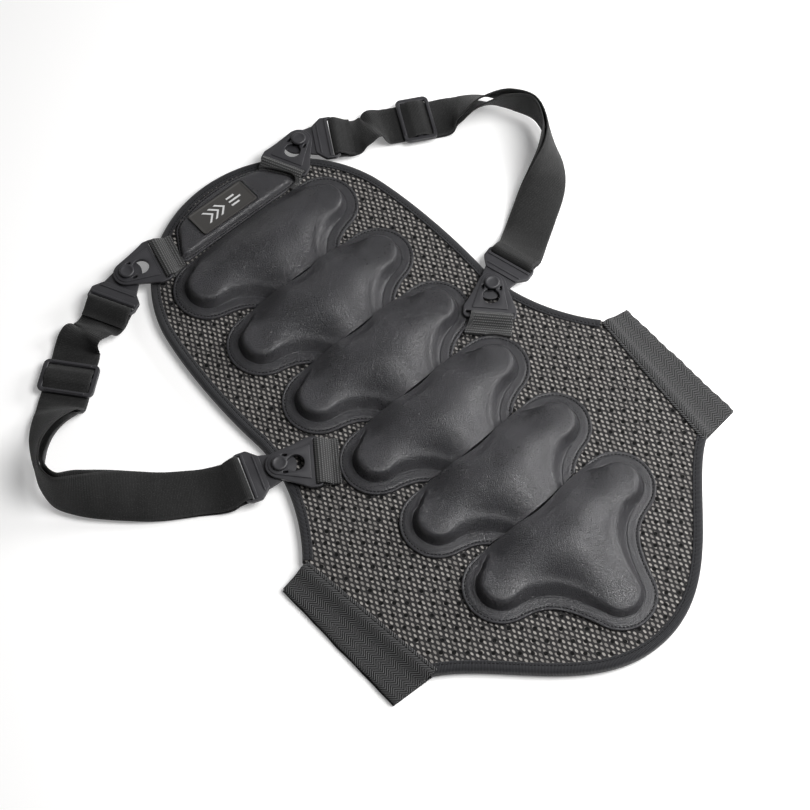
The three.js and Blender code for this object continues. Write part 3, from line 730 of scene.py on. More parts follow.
def spacer_mesh():
    graph = Graph("spacer_mesh")
    at = graph.place()
    drift = graph.noise(at, 9, 1)
    x, y, _ = graph.split(at)
    x = x + (drift - 0.5) * 0.9
    y = y + (graph.noise(at, 11, 1) - 0.5) * 0.9
    eye = shade = hole = 0.0
    for shift in (0.0, 0.5):
        u = x + shift * EYE_PITCH[0]
        v = y + shift * EYE_PITCH[1]
        luck = graph.speckle(graph.vector(graph.math("FLOOR", u * (1 / EYE_PITCH[0]) + 0.5),
                                          graph.math("FLOOR", v * (1 / EYE_PITCH[1]) + 0.5), shift))
        du = graph.wrapped(u, EYE_PITCH[0]) * (1 / EYE_RADIUS[0])
        dv = graph.wrapped(v, EYE_PITCH[1]) * (1 / EYE_RADIUS[1])
        oval = graph.remap(graph.math("SQRT", du * du + dv * dv) + luck * 0.16, 1.16, 0.86)
        eye = graph.math("MAXIMUM", eye, oval)
        lit = oval * graph.remap(luck, 0, 1, 0.5, 1.1, smooth=False)
        shade = graph.math("MAXIMUM", shade, lit)
        dx = graph.wrapped(x + (HOLE_PLACE[0] + shift * HOLE_PITCH[0]), HOLE_PITCH[0])
        dy = graph.wrapped(y + (HOLE_PLACE[1] + shift * HOLE_PITCH[1]), HOLE_PITCH[1])
        pit = graph.remap(graph.math("SQRT", dx * dx + dy * dy), 1.9, 1.3)
        hole = graph.math("MAXIMUM", hole, pit)
    solid = 1 - hole
    yarn = graph.noise(at, 0.45, 2)
    # Lighter diagonal lines along the net's strands: a painted sheen on the yarn.
    strand_sheen = graph.wave(x * 1.7 + y, 1.3)
    net = graph.blend(graph.remap(strand_sheen + yarn, 0.8, 1.5), grey(0.012, COOL), grey(0.045, WARM))
    ground = graph.blend(yarn, grey(0.17, WARM), grey(0.4, WARM))
    colour = graph.blend(shade * solid, net, ground)
    # The holes are painted near black: painted shade for the depth seen through them.
    colour = graph.blend(hole, colour, grey(0.001))
    height = (1 - eye) * 0.75 + yarn * 0.25 - hole * 0.9
    return graph.finish(colour, 0.82, height, 0.55, sheen_weight=0.05, specular_ior_level=0.2)


def warp_knit():
    graph = Graph("lining_knit")
    at = graph.place()
    x, y, _ = graph.split(at)
    column = graph.wrapped(x, 1.5)
    loop = graph.wave(y + graph.math("ABSOLUTE", column) * 1.6, 1.2)
    rib = graph.wave(x, 1.5)
    fibre = graph.noise(at, 0.5, 2)
    colour = graph.blend(fibre, grey(0.012, COOL), grey(0.03, COOL))
    return graph.finish(colour, 0.9, loop * 0.5 + rib * 0.5, 0.3, fibre, 0.1, sheen_weight=0.2)


def grosgrain():
    graph = Graph("binding_grosgrain")
    length, _, place = graph.lay()
    ribs = graph.wave(length, 1.05)
    fibre = graph.noise(place, 0.6, 2)
    # The rib crests are painted lighter than the hollows: a painted highlight on the ribs, painted
    # shade between them.
    crest = graph.remap(ribs + fibre, -0.4, 1.4)
    colour = graph.blend(crest, grey(0.007, COOL), grey(0.022, (0.95, 0.97, 1.16)))
    return graph.finish(colour, 0.72, ribs, 0.16, fibre, 0.1, sheen_weight=0.15,
                        specular_ior_level=0.3)


def herringbone():
    graph = Graph("belt_twill")
    length, across, place = graph.lay()
    column = graph.math("PINGPONG", across + 40.3, 4.1)
    line = graph.wave(length + column * 1.05, 2.0)
    fibre = graph.noise(place, 0.7, 2)
    # The raised twill lines are painted lighter than the hollows: the zigzag follows the weave, and
    # its light crests are a painted highlight.
    crest = graph.remap(line + (fibre - 0.5), -0.5, 1.0)
    colour = graph.blend(crest, grey(0.007), grey(0.095, (1, 1, 1.02)))
    return graph.finish(colour, 0.78, line, 0.3, fibre, 0.12, sheen_weight=0.1,
                        specular_ior_level=0.25)


def elastic():
    graph = Graph("elastic_webbing")
    length, across, place = graph.lay()
    ribs = graph.wave(length, 1.15)
    wales = graph.wave(across, 0.95)
    weave = ribs * 0.55 + wales * 0.45
    fibre = graph.noise(graph.vector(length * 0.6, across), 0.55, 3)
    salt = graph.remap(graph.noise(place, 0.9, 1), 0.52, 0.7)
    selvage = graph.remap(graph.math("ABSOLUTE", across), 17.0, 17.9)
    broad = graph.remap(graph.noise(graph.vector(length, across * 0.3), 16, 2), 0.3, 0.7)
    level = graph.blend(broad, grey(0.01), grey(0.016))
    colour = graph.blend(salt * 0.5, level, grey(0.045))
    colour = graph.blend(selvage * 0.35, colour, grey(0.035))
    return graph.finish(colour, 0.76, weave, 0.16, fibre, 0.14, sheen_weight=0.1,
                        specular_ior_level=0.2)


def coarse_weave():
    graph = Graph("anchor_webbing")
    length, across, place = graph.lay()
    rows = graph.wave(length, 2.1)
    loops = graph.wave(across + graph.math("FLOOR", length * (1 / 2.1)) * 0.9, 1.8)
    weave = rows * 0.7 + rows * loops * 0.6
    fibre = graph.noise(place, 0.9, 2)
    # The raised rows are painted lighter and flecked: the flecks follow the yarn, the lighter rows
    # are a painted highlight.
    crest = graph.remap(weave + fibre * 1.4, 0.7, 1.9)
    colour = graph.blend(crest, grey(0.013), grey(0.12))
    return graph.finish(colour, 0.7, weave, 0.3, fibre, 0.1, sheen_weight=0.2)


def plastic():
    graph = Graph("buckle_nylon")
    at = graph.place()
    spark = graph.noise(at, 0.45, 3)
    broad = graph.noise(at, 14, 2)
    colour = graph.blend(broad, grey(0.024, COOL), grey(0.034, COOL))
    roughness = graph.remap(broad, 0.3, 0.7, 0.4, 0.5)
    return graph.finish(colour, roughness, spark, 0.06, specular_ior_level=0.5)


def foam():
    graph = Graph("foam")
    cells = graph.cells(graph.place(), 0.8)
    # The cells' pits are painted darker than their walls: painted shade in the pores.
    colour = graph.blend(cells, grey(0.03), grey(0.06))
    return graph.finish(colour, 0.9, cells, 0.3)


# ---- Pieces ------------------------------------------------------------------------------

def at_height(points, height):
    return np.column_stack([points, np.full(len(points), height)])


def finish_piece(obj, body, look, replaces=()):
    obj.data.materials.clear()
    obj.data.materials.append(looks[look])
    if body:
        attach(obj, body)
    if replaces:
        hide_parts(*replaces)
    return obj


def panel_right():
    """The panel's outline from the neck round its right side to the tail."""
    neck = bezier((0, NECK_Y), (55, NECK_Y), (100, 220), SHOULDER)
    flank = bezier(SHOULDER, (119, 146), (124, 90), WAIST)
    flare = bezier(WAIST, (119, 8), (134, -32), HIP)
    side = chained(neck, flank, flare)
    tail = bezier(HEM, (100, -212), (66, TAIL_Y), (0, TAIL_Y), steps=40)
    return side, tail


def panel_outline(step):
    return both_halves(np.vstack(panel_right()), step)


def sheet_over(name, outline, top, levels, step, bulge, smaller=drawn_in):
    """A closed sheet: levels are (inset, height) from its underside to the top's edge."""
    rings = [smaller(outline, depth) for depth, _ in levels]
    count = len(outline)
    points = [(x, y, z) for ring, (_, z) in zip(rings, levels) for x, y in ring]
    grid, triangles = filled(rings[-1], step)
    first = (len(levels) - 1) * count
    points += [(x, y, top + lift) for (x, y), lift in zip(grid, bulge(grid))]
    faces = [range(count)[::-1]] + sleeve(len(levels), count)
    faces += [[first + corner for corner in face] for face in triangles]
    return solid(name, points, faces)


def flat_top(points):
    return 0 * points[:, 0]


def ripple(points):
    """The slight unevenness of the mesh's face, as smooth noise."""
    return RIPPLE_HEIGHT * np.array([noise.noise(Vector((*p / RIPPLE_SIZE, 3.0))) for p in points])


def build_panel():
    outline = panel_outline(PANEL_STEP)
    area = 0.5 * abs(np.sum(outline[:, 0] * np.roll(outline[:, 1], -1)
                            - outline[:, 1] * np.roll(outline[:, 0], -1))) * MM * MM
    tuck = BINDING_WALL + 0.3
    face = sheet_over("mesh_panel_face", outline, MESH_TOP, [
        (tuck, FOAM_TOP + 0.3), (tuck, MESH_TOP - 0.8), (tuck + 0.8, MESH_TOP - 0.1),
        (BINDING_WIDTH, MESH_TOP)], FACE_GRID, ripple)
    finish_piece(face, "panel", "mesh", ["mesh_panel"])

    flush = BINDING_WIDTH + 0.3
    lining = sheet_over("back_lining_face", outline, LINING_TOP, [
        (flush, 0), (flush - 0.2, 0.9), (tuck, 1.1), (tuck, LINING_TOP)],
        LINING_GRID, flat_top)
    finish_piece(lining, "panel", "lining", ["back_lining"])
    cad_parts["foam_core"].data.materials.clear()
    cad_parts["foam_core"].data.materials.append(looks["foam"])


def build_binding():
    """Folded tape round the rim: one length over the neck, hip to hip, and one round the tail."""
    top, wide, seam_in = BINDING_TOP, BINDING_WIDTH, BINDING_WIDTH - 2.2
    section = [
        (wide, top - 0.45), (wide - 0.25, top - 0.05), (wide - 1.2, top + 0.02),
        (seam_in, top - 0.22), (wide - 3.2, top + 0.1), (3.2, top + 0.2), (1.7, top - 0.1),
        (0.7, top - 0.9), (0.15, top - 2.2), (-0.05, 5.2), (0.0, 3.4), (0.3, 1.6), (1.1, 0.5),
        (2.4, 0.05), (wide - 0.3, 0), (wide, 0.3), (wide - 0.2, 0.75), (2.2, 0.85), (1.3, 1.4),
        (1.0, 2.6), (1.0, 7.2), (1.4, 8.4), (2.2, 8.85), (wide - 1.2, 8.88)]
    side, tail = panel_right()
    side = side[:-1]
    neck_path = even(np.vstack([mirrored(side), side[1:]]), 1.6)
    tail_path = even(np.vstack([tail, mirrored(tail)[1:]]), 1.6)
    for name, path, nodes in (
            ("edge_binding_neck_and_sides", neck_path, ["edge_binding_right", "edge_binding_left"]),
            ("edge_binding_lower", tail_path, ["edge_binding_tail"])):
        tape = swept(name, path, section)
        finish_piece(tape, "panel", "grosgrain", nodes)
        along = even(path, TAPE_PITCH)
        inward = unit(np.gradient(along, axis=0)) @ np.array([[0, -1], [1, 0]])
        seam = at_height(along + inward * seam_in, top - 0.12)
        sew(f"{name}_seam", seam, TAPE_STITCH)


def upper_tab(width, lift):
    """The section of a hip's upper strip, from its outer edge over the panel's rim and back."""
    return [(width, 4.5 + lift), (width - 0.5, 4.9 + lift), (width - 5, 5.35 + lift), (12, 5.9),
            (9, 6.4), (6, 7.4), (3.4, 8.8), (1.2, 9.9), (-0.5, 10.25), (-2.6, 10.2),
            (TAB_SEAM, 9.95), (-4.2, 10.2), (-TAB_LAP + 0.3, 10.15), (-TAB_LAP, 9.7),
            (-TAB_LAP, 9.1), (-1, 9.0), (0.6, 8.6), (2.6, 7.5), (5.4, 6.1), (8.6, 5.1), (12, 4.6),
            (width - 5, 4.1 + lift), (width - 0.5, 3.5 + lift), (width, 3.8 + lift)]


def lower_tab(width, lift):
    """The section of the strip below it, which lies on the ground and reaches a little further."""
    width += 0.8
    return [(width, 0.6), (width - 0.3, 1.05), (width - 5, 1.1 + 0.3 * abs(lift)), (8, 1.05),
            (1, 0.95), (-TAB_LAP, 0.78), (-TAB_LAP, 0.05), (2, 0), (width - 5, 0), (width - 0.4, 0),
            (width, 0.25)]


def tab_layer(name, side, section_at, seed, scallop):
    """One strip of twill along a hip; scallop is the height of the waves of its outer edge."""
    rings, lays = [], []
    steps = 60
    hip, hem, outer_hip, outer_hem = np.array([HIP, HEM, TAB_OUTER_HIP, TAB_OUTER_HEM], float)
    for t in np.linspace(0, 1, steps + 1):
        edge = mix(hip, hem, t)
        reach = mix(outer_hip, outer_hem, t) - edge
        width = np.linalg.norm(reach)
        wave = 0.7 * noise.noise(Vector((t * 7, seed, side))) + scallop * math.sin(t * 75)
        lift = 0.5 * noise.noise(Vector((t * 5, seed + 9, side)))
        across, height = np.array(section_at(width + wave, lift)).T
        spots = edge + reach / width * across[:, None]
        rings.append(np.column_stack([side * spots[:, 0], spots[:, 1], height]))
        lays.append(np.column_stack([np.full(len(across), spots[0, 1]), across, 0 * across]))
    faces = capped(steps + 1, len(rings[0]))
    return solid(name, np.vstack(rings), faces, np.vstack(lays))


def build_tabs():
    sewn_line = even(np.array([HIP, HEM], float), TAPE_PITCH)[1:-1] + (TAB_SEAM, 0)
    for name, side in (("right", 1), ("left", -1)):
        for layer, shape, seed in (("upper", upper_tab, 1), ("lower", lower_tab, 5)):
            scallop = 0.35 if layer == "upper" and side > 0 else 0
            tape = tab_layer(f"belt_tab_{layer}_{name}_tape", side, shape, seed, scallop)
            finish_piece(tape, "panel", "twill", [f"belt_tab_{layer}_{name}"])
        seam = at_height(sewn_line * (side, 1), 10.05)
        sew(f"belt_tab_seam_{name}", seam, TAB_STITCH)


# ---- Spine plates ------------------------------------------------------------------------

def plate_outline(step=1.5, top_dip=PLATE_TOP_DIP):
    dip = PLATE_TOP_EDGE - top_dip
    lobe = arc((LOBE_X, LOBE_Y), LOBE_R, 100, -75, 40)
    top = bezier((0, dip), (22, dip), (38, PLATE_TOP_EDGE - 1), lobe[0])
    waist = bezier(lobe[-1], (47, -31.5), (39, -38), (26.5, -72))
    tail = bezier(waist[-1], (22, -83), (11, -PLATE_TAIL), (0, -PLATE_TAIL))
    return both_halves(chained(top, lobe, waist, tail), step, 3)


def plate_place(index):
    return np.array([0, (PLATE_COUNT / 2 - 0.5 - index) * PLATE_PITCH])


# Flange of a plate from its rim inward, then its wall from the end of the flange inward:
# distance in, and height above the plate's base.
FLANGE_RINGS = [(0.25, 0), (0, 0.4), (0, 1.6), (0.25, 2.2), (0.9, 2.5), (1.6, 2.4), (2.1, 2.0),
                (3.1, 2.0), (3.6, 2.3), (5.4, 2.42), (8.2, 2.32), (9.0, 2.5), (9.45, 2.5),
                (9.8, FLANGE_TOP)]
WALL_RINGS = [(0.3, 2.2), (0.7, 2.7), (1.6, 4.8), (2.6, 7.4), (3.5, 9.7), (4.1, 10.9), (4.7, 11.7),
              (5.5, 12.4), (6.6, 13.1)]
SEAM_INSET = 2.6
SEAM_HEIGHT = 2.15


def plate_solid(name, outline, edge_lift, edge_slope, edge_reach):
    """A moulded plate about its own middle: stitched flange, steep walls and a crowned top.

    Along the top edge between the lobes the crown runs right out to the rim, which arches."""
    normals = outward(outline)
    x, y = np.abs(outline[:, 0]), outline[:, 1]
    at_top = smoothstep(18, 26, y) * (1 - smoothstep(46, 66, x))
    lift = FLANGE_TOP + edge_lift * (1 - smoothstep(15, edge_reach, x))
    fall = 1 - 0.45 * smoothstep(0, 85, -y)
    bend = np.roll(normals, -4, 0) - np.roll(normals, 4, 0)
    along = np.roll(outline, -4, 0) - np.roll(outline, 4, 0)
    hollow = -(bend * along).sum(1) / (along**2).sum(1)
    spread = 0.85 + 1.15 * smoothstep(-0.01, 0.03, relaxed(hollow[:, None], 40)[:, 0])
    crest = FLANGE_RINGS[-1][0]
    rings = []
    for order, (depth, height) in enumerate(FLANGE_RINGS):
        rise = (0, 0.02, 0.9, 0.96, 0.99)[min(order, 4)]
        inset = mix(depth, depth * 0.22, at_top)
        rings.append((inset, mix(height, lift * rise + edge_slope * inset, at_top)))
    for distance, height in WALL_RINGS:
        inset = mix(crest + distance * spread, crest * 0.22 + distance * 1.1, at_top)
        wall = FLANGE_TOP + (height - FLANGE_TOP) * fall
        rings.append((inset, mix(wall, lift + edge_slope * inset, at_top)))
    count = len(outline)
    flat = np.vstack([outline - normals * inset[:, None] for inset, _ in rings])
    heights = np.concatenate([height for _, height in rings])
    grid, triangles = filled(flat[-count:], CROWN_GRID)
    flat = np.vstack([flat, grid])

    first = (len(rings) - 1) * count
    start = np.concatenate([heights[first:], np.zeros(len(grid))])
    free = np.arange(len(start)) >= count
    crown = crowned(flat[first:], np.array(triangles), start, free)
    heights = np.concatenate([heights[:first], crown]) + PLATE_BASE
    top_faces = [[first + corner for corner in face] for face in triangles]
    faces = sleeve(len(rings), count) + top_faces + [range(count)]
    return solid(name, np.column_stack([flat, heights]), faces)


def plate_seam():
    """Places of the stitches: round the flange, but not along the top edge."""
    outline = plate_outline(0.5)
    inner = even(outline - outward(outline) * SEAM_INSET, MOULDING_PITCH, closed=True)
    keep = ~((inner[:, 1] > 19) & (np.abs(inner[:, 0]) < 52))
    return at_height(inner, PLATE_BASE + SEAM_HEIGHT)[keep]


def build_plates():
    outline = plate_outline()
    at_top = smoothstep(18, 26, outline[:, 1]) * (1 - smoothstep(40, 56, np.abs(outline[:, 0])))
    room = outline + outward(outline) * (PLATE_GAP + PLATE_TOP_GAP * at_top)[:, None]
    seam = plate_seam()
    first = plate_solid("first_plate", plate_outline(top_dip=1.5),
                        edge_lift=5.5, edge_slope=0.75, edge_reach=62)
    overlapping = plate_solid("overlapping_plate", outline,
                              edge_lift=15.0, edge_slope=0.3, edge_reach=56)
    for index in range(PLATE_COUNT):
        plate = (overlapping if index else first).copy()
        plate.name = f"spine_plate_{index + 1}_moulding"
        plate.data = plate.data.copy()
        bpy.context.scene.collection.objects.link(plate)
        plate.data.transform(Matrix.Translation(Vector((0, plate_place(index)[1], 0)) * MM))
        places = seam + (0, plate_place(index)[1], 0)
        if index + 1 < PLATE_COUNT:
            cutter = prism("cutter", room + plate_place(index + 1), 0, CUTTER_TOP)
            combined(plate, cutter, "DIFFERENCE")
            places = places[~is_inside(places[:, :2], room + plate_place(index + 1))]
        sharpen(plate, SHARP_MOULDING)
        nodes = [f"spine_plate_{index + 1}", f"plate_core_{index + 1}"]
        finish_piece(plate, "panel", "leather", nodes)
        sew(f"spine_plate_{index + 1}_stitching", places, PLATE_STITCH)
    drop(first)
    drop(overlapping)


# ---- Neck patch --------------------------------------------------------------------------

def patch_outline(step=1.5):
    half = chained(bezier((0, 248), (17, 248), (32, 245), (42, 240)),
                   bezier((42, 240), (47, 237.5), (49, 233)),
                   np.array([(49, 233), (60.5, 213.5)], float),
                   bezier((60.5, 213.5), (63, 206.5), (56, 206.5)),
                   np.array([(56, 206.5), (0, 206.5)], float))
    return both_halves(half, step, 4)


# The patch and its label from their feet inward: distance in, and height above the plates' base.
PATCH_RINGS = [(0.3, 0), (0, 0.5), (0, 1.5), (0.35, 2.05), (1.0, 2.2), (1.7, 2.0), (2.2, 1.85),
               (2.8, 2.3), (3.5, 3.5), (4.5, 4.8), (5.8, 5.6), (7.6, 5.95), (9.6, 6.0)]
LABEL_RINGS = [(0.2, 5.35), (0, 5.6), (0, 6.4), (0.25, 6.9), (0.7, 7.0), (1.5, 7.0), (1.8, 6.8),
               (2.4, 6.75)]
LABEL_BOX = (-33, 214.5, 23, 238.5)
LABEL_TOP = 15.9


def rounded_box(left, bottom, right, top, radius=0.8):
    corners = [((right - radius, top - radius), 90), ((right - radius, bottom + radius), 0),
               ((left + radius, bottom + radius), -90), ((left + radius, top - radius), 180)]
    return np.vstack([arc(centre, radius, start, start - 90, 6) for centre, start in corners])


def build_neck_patch():
    outline = patch_outline()
    levels = [(depth, PLATE_BASE + height) for depth, height in PATCH_RINGS]
    patch = sheet_over("neck_patch_moulding", outline, levels[-1][1], levels,
                       PATCH_GRID, flat_top, shrunk)
    left, bottom, right, top = LABEL_BOX
    groove = rounded_box(left - 1.1, bottom - 1.1, right + 1.1, top + 1.1, 3.4)
    combined(patch, prism("groove", groove, PLATE_BASE + 5.3, 30), "DIFFERENCE")
    sharpen(patch, SHARP_MOULDING)
    finish_piece(patch, "panel", "leather", ["neck_patch", "neck_patch_core"])
    seam = at_height(even(shrunk(outline, 2.0), MOULDING_PITCH, closed=True), PLATE_BASE + 1.95)
    sew("neck_patch_stitching", seam, PATCH_STITCH, closed=True)

    box = even(rounded_box(left, bottom, right, top, 2.5), 0.8, closed=True)
    rings = [at_height(box - outward(box) * depth, PLATE_BASE + z) for depth, z in LABEL_RINGS]
    badge = solid("neck_label_badge", np.vstack(rings), capped(len(rings), len(box)))
    finish_piece(sharpen(badge, SHARP_LABEL), "panel", "label", ["neck_label"])
    build_label_bars(np.array([(left + right) / 2, (bottom + top) / 2]))


def build_label_bars(middle):
    """A plain pattern on the label: three nested chevrons and three bars."""
    ink = []
    for tip_x in (-9.5, -3.5, 2.5):
        for rise in (6, -6):
            ink.append([(tip_x, 0), (tip_x - 2.2, 0), (tip_x - 8.2, rise), (tip_x - 6, rise)])
    for row, end in ((-4, 15), (0, 19), (4, 15)):
        ink.append([(7, row - 0.8), (end, row - 0.8), (end, row + 0.8), (7, row + 0.8)])
    points, faces = [], []
    for quad in ink:
        faces += capped(2, 4, len(points))
        for sunk in (0.45, 0.12):
            points += [(*(middle + corner), LABEL_TOP - sunk) for corner in quad]
    marks = solid("neck_label_bars", points, faces)
    finish_piece(sharpen(marks, SHARP_LABEL), "panel", "ink")


# ---- Moulded plastic ---------------------------------------------------------------------

def moulding(name, outlines, bottom, top, edge, steps=3):
    """A flat moulding with rounded edges; the first outline is its rim, the rest are holes."""
    curve = bpy.data.curves.new(name, "CURVE")
    curve.dimensions = "2D"
    curve.fill_mode = "BOTH"
    curve.extrude = ((top - bottom) / 2 - edge) * MM
    curve.bevel_depth = edge * MM
    curve.bevel_resolution = steps
    curve.offset = -edge * MM
    for outline in outlines:
        spline = curve.splines.new("POLY")
        spline.points.add(len(outline) - 1)
        for point, (x, y) in zip(spline.points, outline):
            point.co = (x * MM, y * MM, 0, 1)
        spline.use_cyclic_u = True
    obj = face_out(applied(linked(name, curve)), merge=0.01)
    obj.data.transform(Matrix.Translation((0, 0, (top + bottom) / 2 * MM)))
    obj.data.shade_smooth()
    return obj


def turned(name, profile, sides=48):
    """A closed turning about the Z axis: profile is (radius, height) pairs from axis to axis."""
    inner = profile[1:-1]
    angles = [2 * math.pi * k / sides for k in range(sides)]
    points = [(0, 0, profile[0][1])]
    points += [(radius * math.cos(angle), radius * math.sin(angle), height)
               for radius, height in inner for angle in angles]
    points.append((0, 0, profile[-1][1]))
    last = len(points) - 1
    top = last - sides
    faces = sleeve(len(inner), sides, 1)
    for k in range(sides):
        ahead = (k + 1) % sides
        faces += [(0, 1 + ahead, 1 + k), (last, top + k, top + ahead)]
    return solid(name, points, faces)


def keyhole_outline():
    """The eye that the stud head passes through and the neck that then holds its post."""
    neck, eye = STUD_POST_R + 0.5, STUD_HEAD_R + 0.7
    throat = math.degrees(math.asin(neck / eye))
    return np.vstack([arc((0, 0), neck, 90, -90, 12), arc((-12, 0), eye, 360 - throat, throat, 30)])


def keyhole_plate(name):
    tip = arc((0, 0), 11.5, 65, -65, 20)
    low = bezier(tip[-1], (-14, -17), (-22, -BUCKLE_HALF))
    foot = bezier((-27, -BUCKLE_HALF), (-32.5, -BUCKLE_HALF), (-32.5, -17))
    right = chained(tip, low)
    rim = np.vstack([right, foot, (foot * (1, -1))[::-1], (low * (1, -1))[::-1]])
    rim = relaxed(even(rim, SMALL_STEP, closed=True), 2)
    slot = rounded_box(-29, -SLOT_HALF, -26.4, SLOT_HALF)
    holes = [keyhole_outline()]
    for v in (7.2, -7.2):
        holes.append(np.vstack([arc((-2.6, v), 1.0, 90, -90, 6), arc((-5.0, v), 1.0, 270, 90, 6)]))
    bottom, top = KEY_PLATE_Z
    plate = moulding(name, [rim, slot] + holes, bottom, top - 0.5, 0.55)
    pad_rim = np.vstack([arc((0, 0), 9.3, 62, -62, 16), [(-23.6, -14.6), (-23.6, 14.6)]])
    pad_rim = relaxed(even(pad_rim, 0.6, closed=True), 2)
    pad = moulding("pad", [pad_rim] + holes, top - 1.6, top + 0.25, 0.5, 2)
    return combined(plate, pad, "UNION")


def stud_plate(name):
    tongue = np.vstack([arc((-2.5, 0), 10.5, 270, 90, 24), [(14, 15), (14, -15)]])
    half = [(13, 14), (21, BUCKLE_HALF), (29.5, BUCKLE_HALF), (33.5, BUCKLE_HALF - 2.5)]
    rim = np.array(half + [(x, -y) for x, y in half[::-1]], float)
    rim = relaxed(even(rim, SMALL_STEP, closed=True), 2)
    slot = rounded_box(27.2, -SLOT_HALF, 30.5, SLOT_HALF)
    step = rounded_box(16.6, -15.5, 18.2, 15.5, 0.7)
    sill = rounded_box(24.2, -19.6, 26.6, 19.6, 0.9)
    bottom, top = STUD_PLATE_Z
    body = moulding(name, [rim, slot], bottom, top, 0.6)
    parts = [moulding("tongue", [even(tongue, 0.8, closed=True)], bottom, 12.2, 0.4),
             moulding("step", [step], top - 1.5, top + 0.55, 0.5),
             moulding("sill", [sill], top - 1.5, top + 0.75, 0.6)]
    rise = KEY_PLATE_Z[1] + 0.7
    post, head = STUD_POST_R, STUD_HEAD_R
    parts.append(turned("stud", [
        (0, 11.4), (post, 11.4), (post, rise - 0.3), (post + 0.6, rise), (head - 0.5, rise),
        (head, rise + 0.5), (head, STUD_TOP - 0.9), (head - 0.35, STUD_TOP - 0.3),
        (head - 1.1, STUD_TOP), (head - 1.8, STUD_TOP - 0.05), (head - 2.4, STUD_TOP - 0.35),
        (1.5, STUD_TOP - 0.45), (0, STUD_TOP - 0.45)]))
    for part in parts:
        combined(body, part, "UNION")
    return body


def slider_frame(name):
    half, wide = SLIDER_LENGTH / 2, SLIDER_HALF_WIDTH
    rim = even(rounded_box(-half, -wide, half, wide, 5), SMALL_STEP, closed=True)
    bottom, top = SLIDER_Z
    holes = [rounded_box(-half + 3.4, -SLIDER_HOLE_HALF, -1.7, SLIDER_HOLE_HALF, 1),
             rounded_box(1.7, -SLIDER_HOLE_HALF, half - 3.4, SLIDER_HOLE_HALF, 1)]
    body = moulding(name, [rim] + holes, bottom, top, 0.8)
    for middle in (half - 1.9, 1.9 - half):
        grip = rounded_box(middle - 1.0, -16, middle + 1.0, 16, 0.9)
        combined(body, moulding("grip", [grip], top - 1.2, top + 0.7, 0.5), "UNION")
    return body


def buckle_matrix(place, angle):
    turn = Matrix.Rotation(math.radians(angle), 4, "Z")
    return Matrix.Translation((place[0] * MM, place[1] * MM, 0)) @ turn


def heading(angle):
    """A unit step in a direction given in degrees."""
    return math.cos(math.radians(angle)), math.sin(math.radians(angle))


def in_frame(place, angle, points):
    """Points given as (u, v, z) in a buckle's own frame, in the part's frame."""
    c, s = heading(angle)
    u, v, z = np.asarray(points, float).T
    return np.column_stack([place[0] + c * u - s * v, place[1] + s * u + c * v, z])


def across_of(angle):
    c, s = heading(angle)
    return np.array([-s, c, 0])


def around_bar(bar, start, end):
    return [(u, 0, z) for u, z in arc(bar, BAR_WRAP_R, start, end, 14)]


def finish_plastic(piece, place, angle, body, node):
    piece.data.transform(buckle_matrix(place, angle))
    finish_piece(sharpen(piece, SHARP_PLASTIC), body, "plastic", [node])


def build_buckles():
    plate_room, patch_room = plate_outline(PANEL_STEP), patch_outline(PANEL_STEP)
    plate_room = plate_room + outward(plate_room) * ANCHOR_GAP
    rooms = [patch_room + outward(patch_room) * ANCHOR_GAP]
    rooms += [plate_room + plate_place(index) for index in range(PLATE_COUNT)]
    low = BINDING_TOP + 0.3 + ANCHOR_THICK / 2
    high = low + ANCHOR_THICK + 0.15
    line = [(-46, 0, low), (-43, 0, low), (-39, 0, low)] + around_bar(KEY_BAR, 250, 470)
    line += [(-36.5, 0, 14.6), (-39.5, 0, high + 0.2), (-43, 0, high), (-46, 0, high)]
    for name, (place, key, strap) in BUCKLES.items():
        body = f"strap_{name.split('_')[1]}"
        plate, stud = f"keyhole_plate_{name}", f"stud_plate_{name}"
        finish_plastic(keyhole_plate(f"{plate}_moulding"), place, key, body, plate)
        finish_plastic(stud_plate(f"{stud}_moulding"), place, strap, f"stud_{name}", stud)

        centres = even(through(in_frame(place, key, line), 6), 0.9)
        sides = np.tile(across_of(key), (len(centres), 1))
        loop, _ = ribbon(f"anchor_webbing_{name}_loop", centres, sides, STRAP_WIDTH, ANCHOR_THICK)
        for room in rooms:
            gap = np.sqrt(((centres[:, None, :2] - room[None]) ** 2).sum(2)).min()
            if gap < STRAP_WIDTH / 2 + 4:
                combined(loop, prism("cutter", room, 0, CUTTER_TOP), "DIFFERENCE")
        sharpen(loop, SHARP_CUT)
        finish_piece(loop, None, "coarse", [f"anchor_webbing_{name}"])
        start, end = in_frame(place, key, [(-44, 0, low), (-35.5, 0, KEY_BAR[1])]) * MM
        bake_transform(loop)


# ---- Shoulder straps ---------------------------------------------------------------------

def strap_frames(side):
    """Centre, across, top and roll of the doubled strap: flat, then on its edge, then flat."""
    inner, place, angle, _, route = STRAPS[side]
    forward = np.array(heading(angle))
    stations = [(*(np.array(place) + forward * d), 0) for d in (-STRAIGHT, 0, STRAIGHT)] + route
    stack = STRAP_THICK + LAYER_GAP / 2 + 0.3
    rows = [(x, y, STRAP_WIDTH / 2 * math.sin(math.radians(roll)) + stack, roll)
            for x, y, roll in stations]
    rows = through(rows, 14)
    centre, roll = rows[:, :3], np.radians(np.clip(rows[:, 3], 0, 90))[:, None]
    travel = unit(np.gradient(centre, axis=0))
    inward = unit(np.column_stack([travel[:, 1], -travel[:, 0], 0 * travel[:, 0]])) * inner
    up = unit(np.cross(travel, inward) * -inner)
    up *= np.sign(up[:, 2:])
    across = inward * np.cos(roll) + up * np.sin(roll)
    top = up * np.cos(roll) - inward * np.sin(roll)
    return centre, across, top, roll[:, 0]


def hump(values, middle, width):
    return np.exp(-(((values - middle) / width) ** 2))


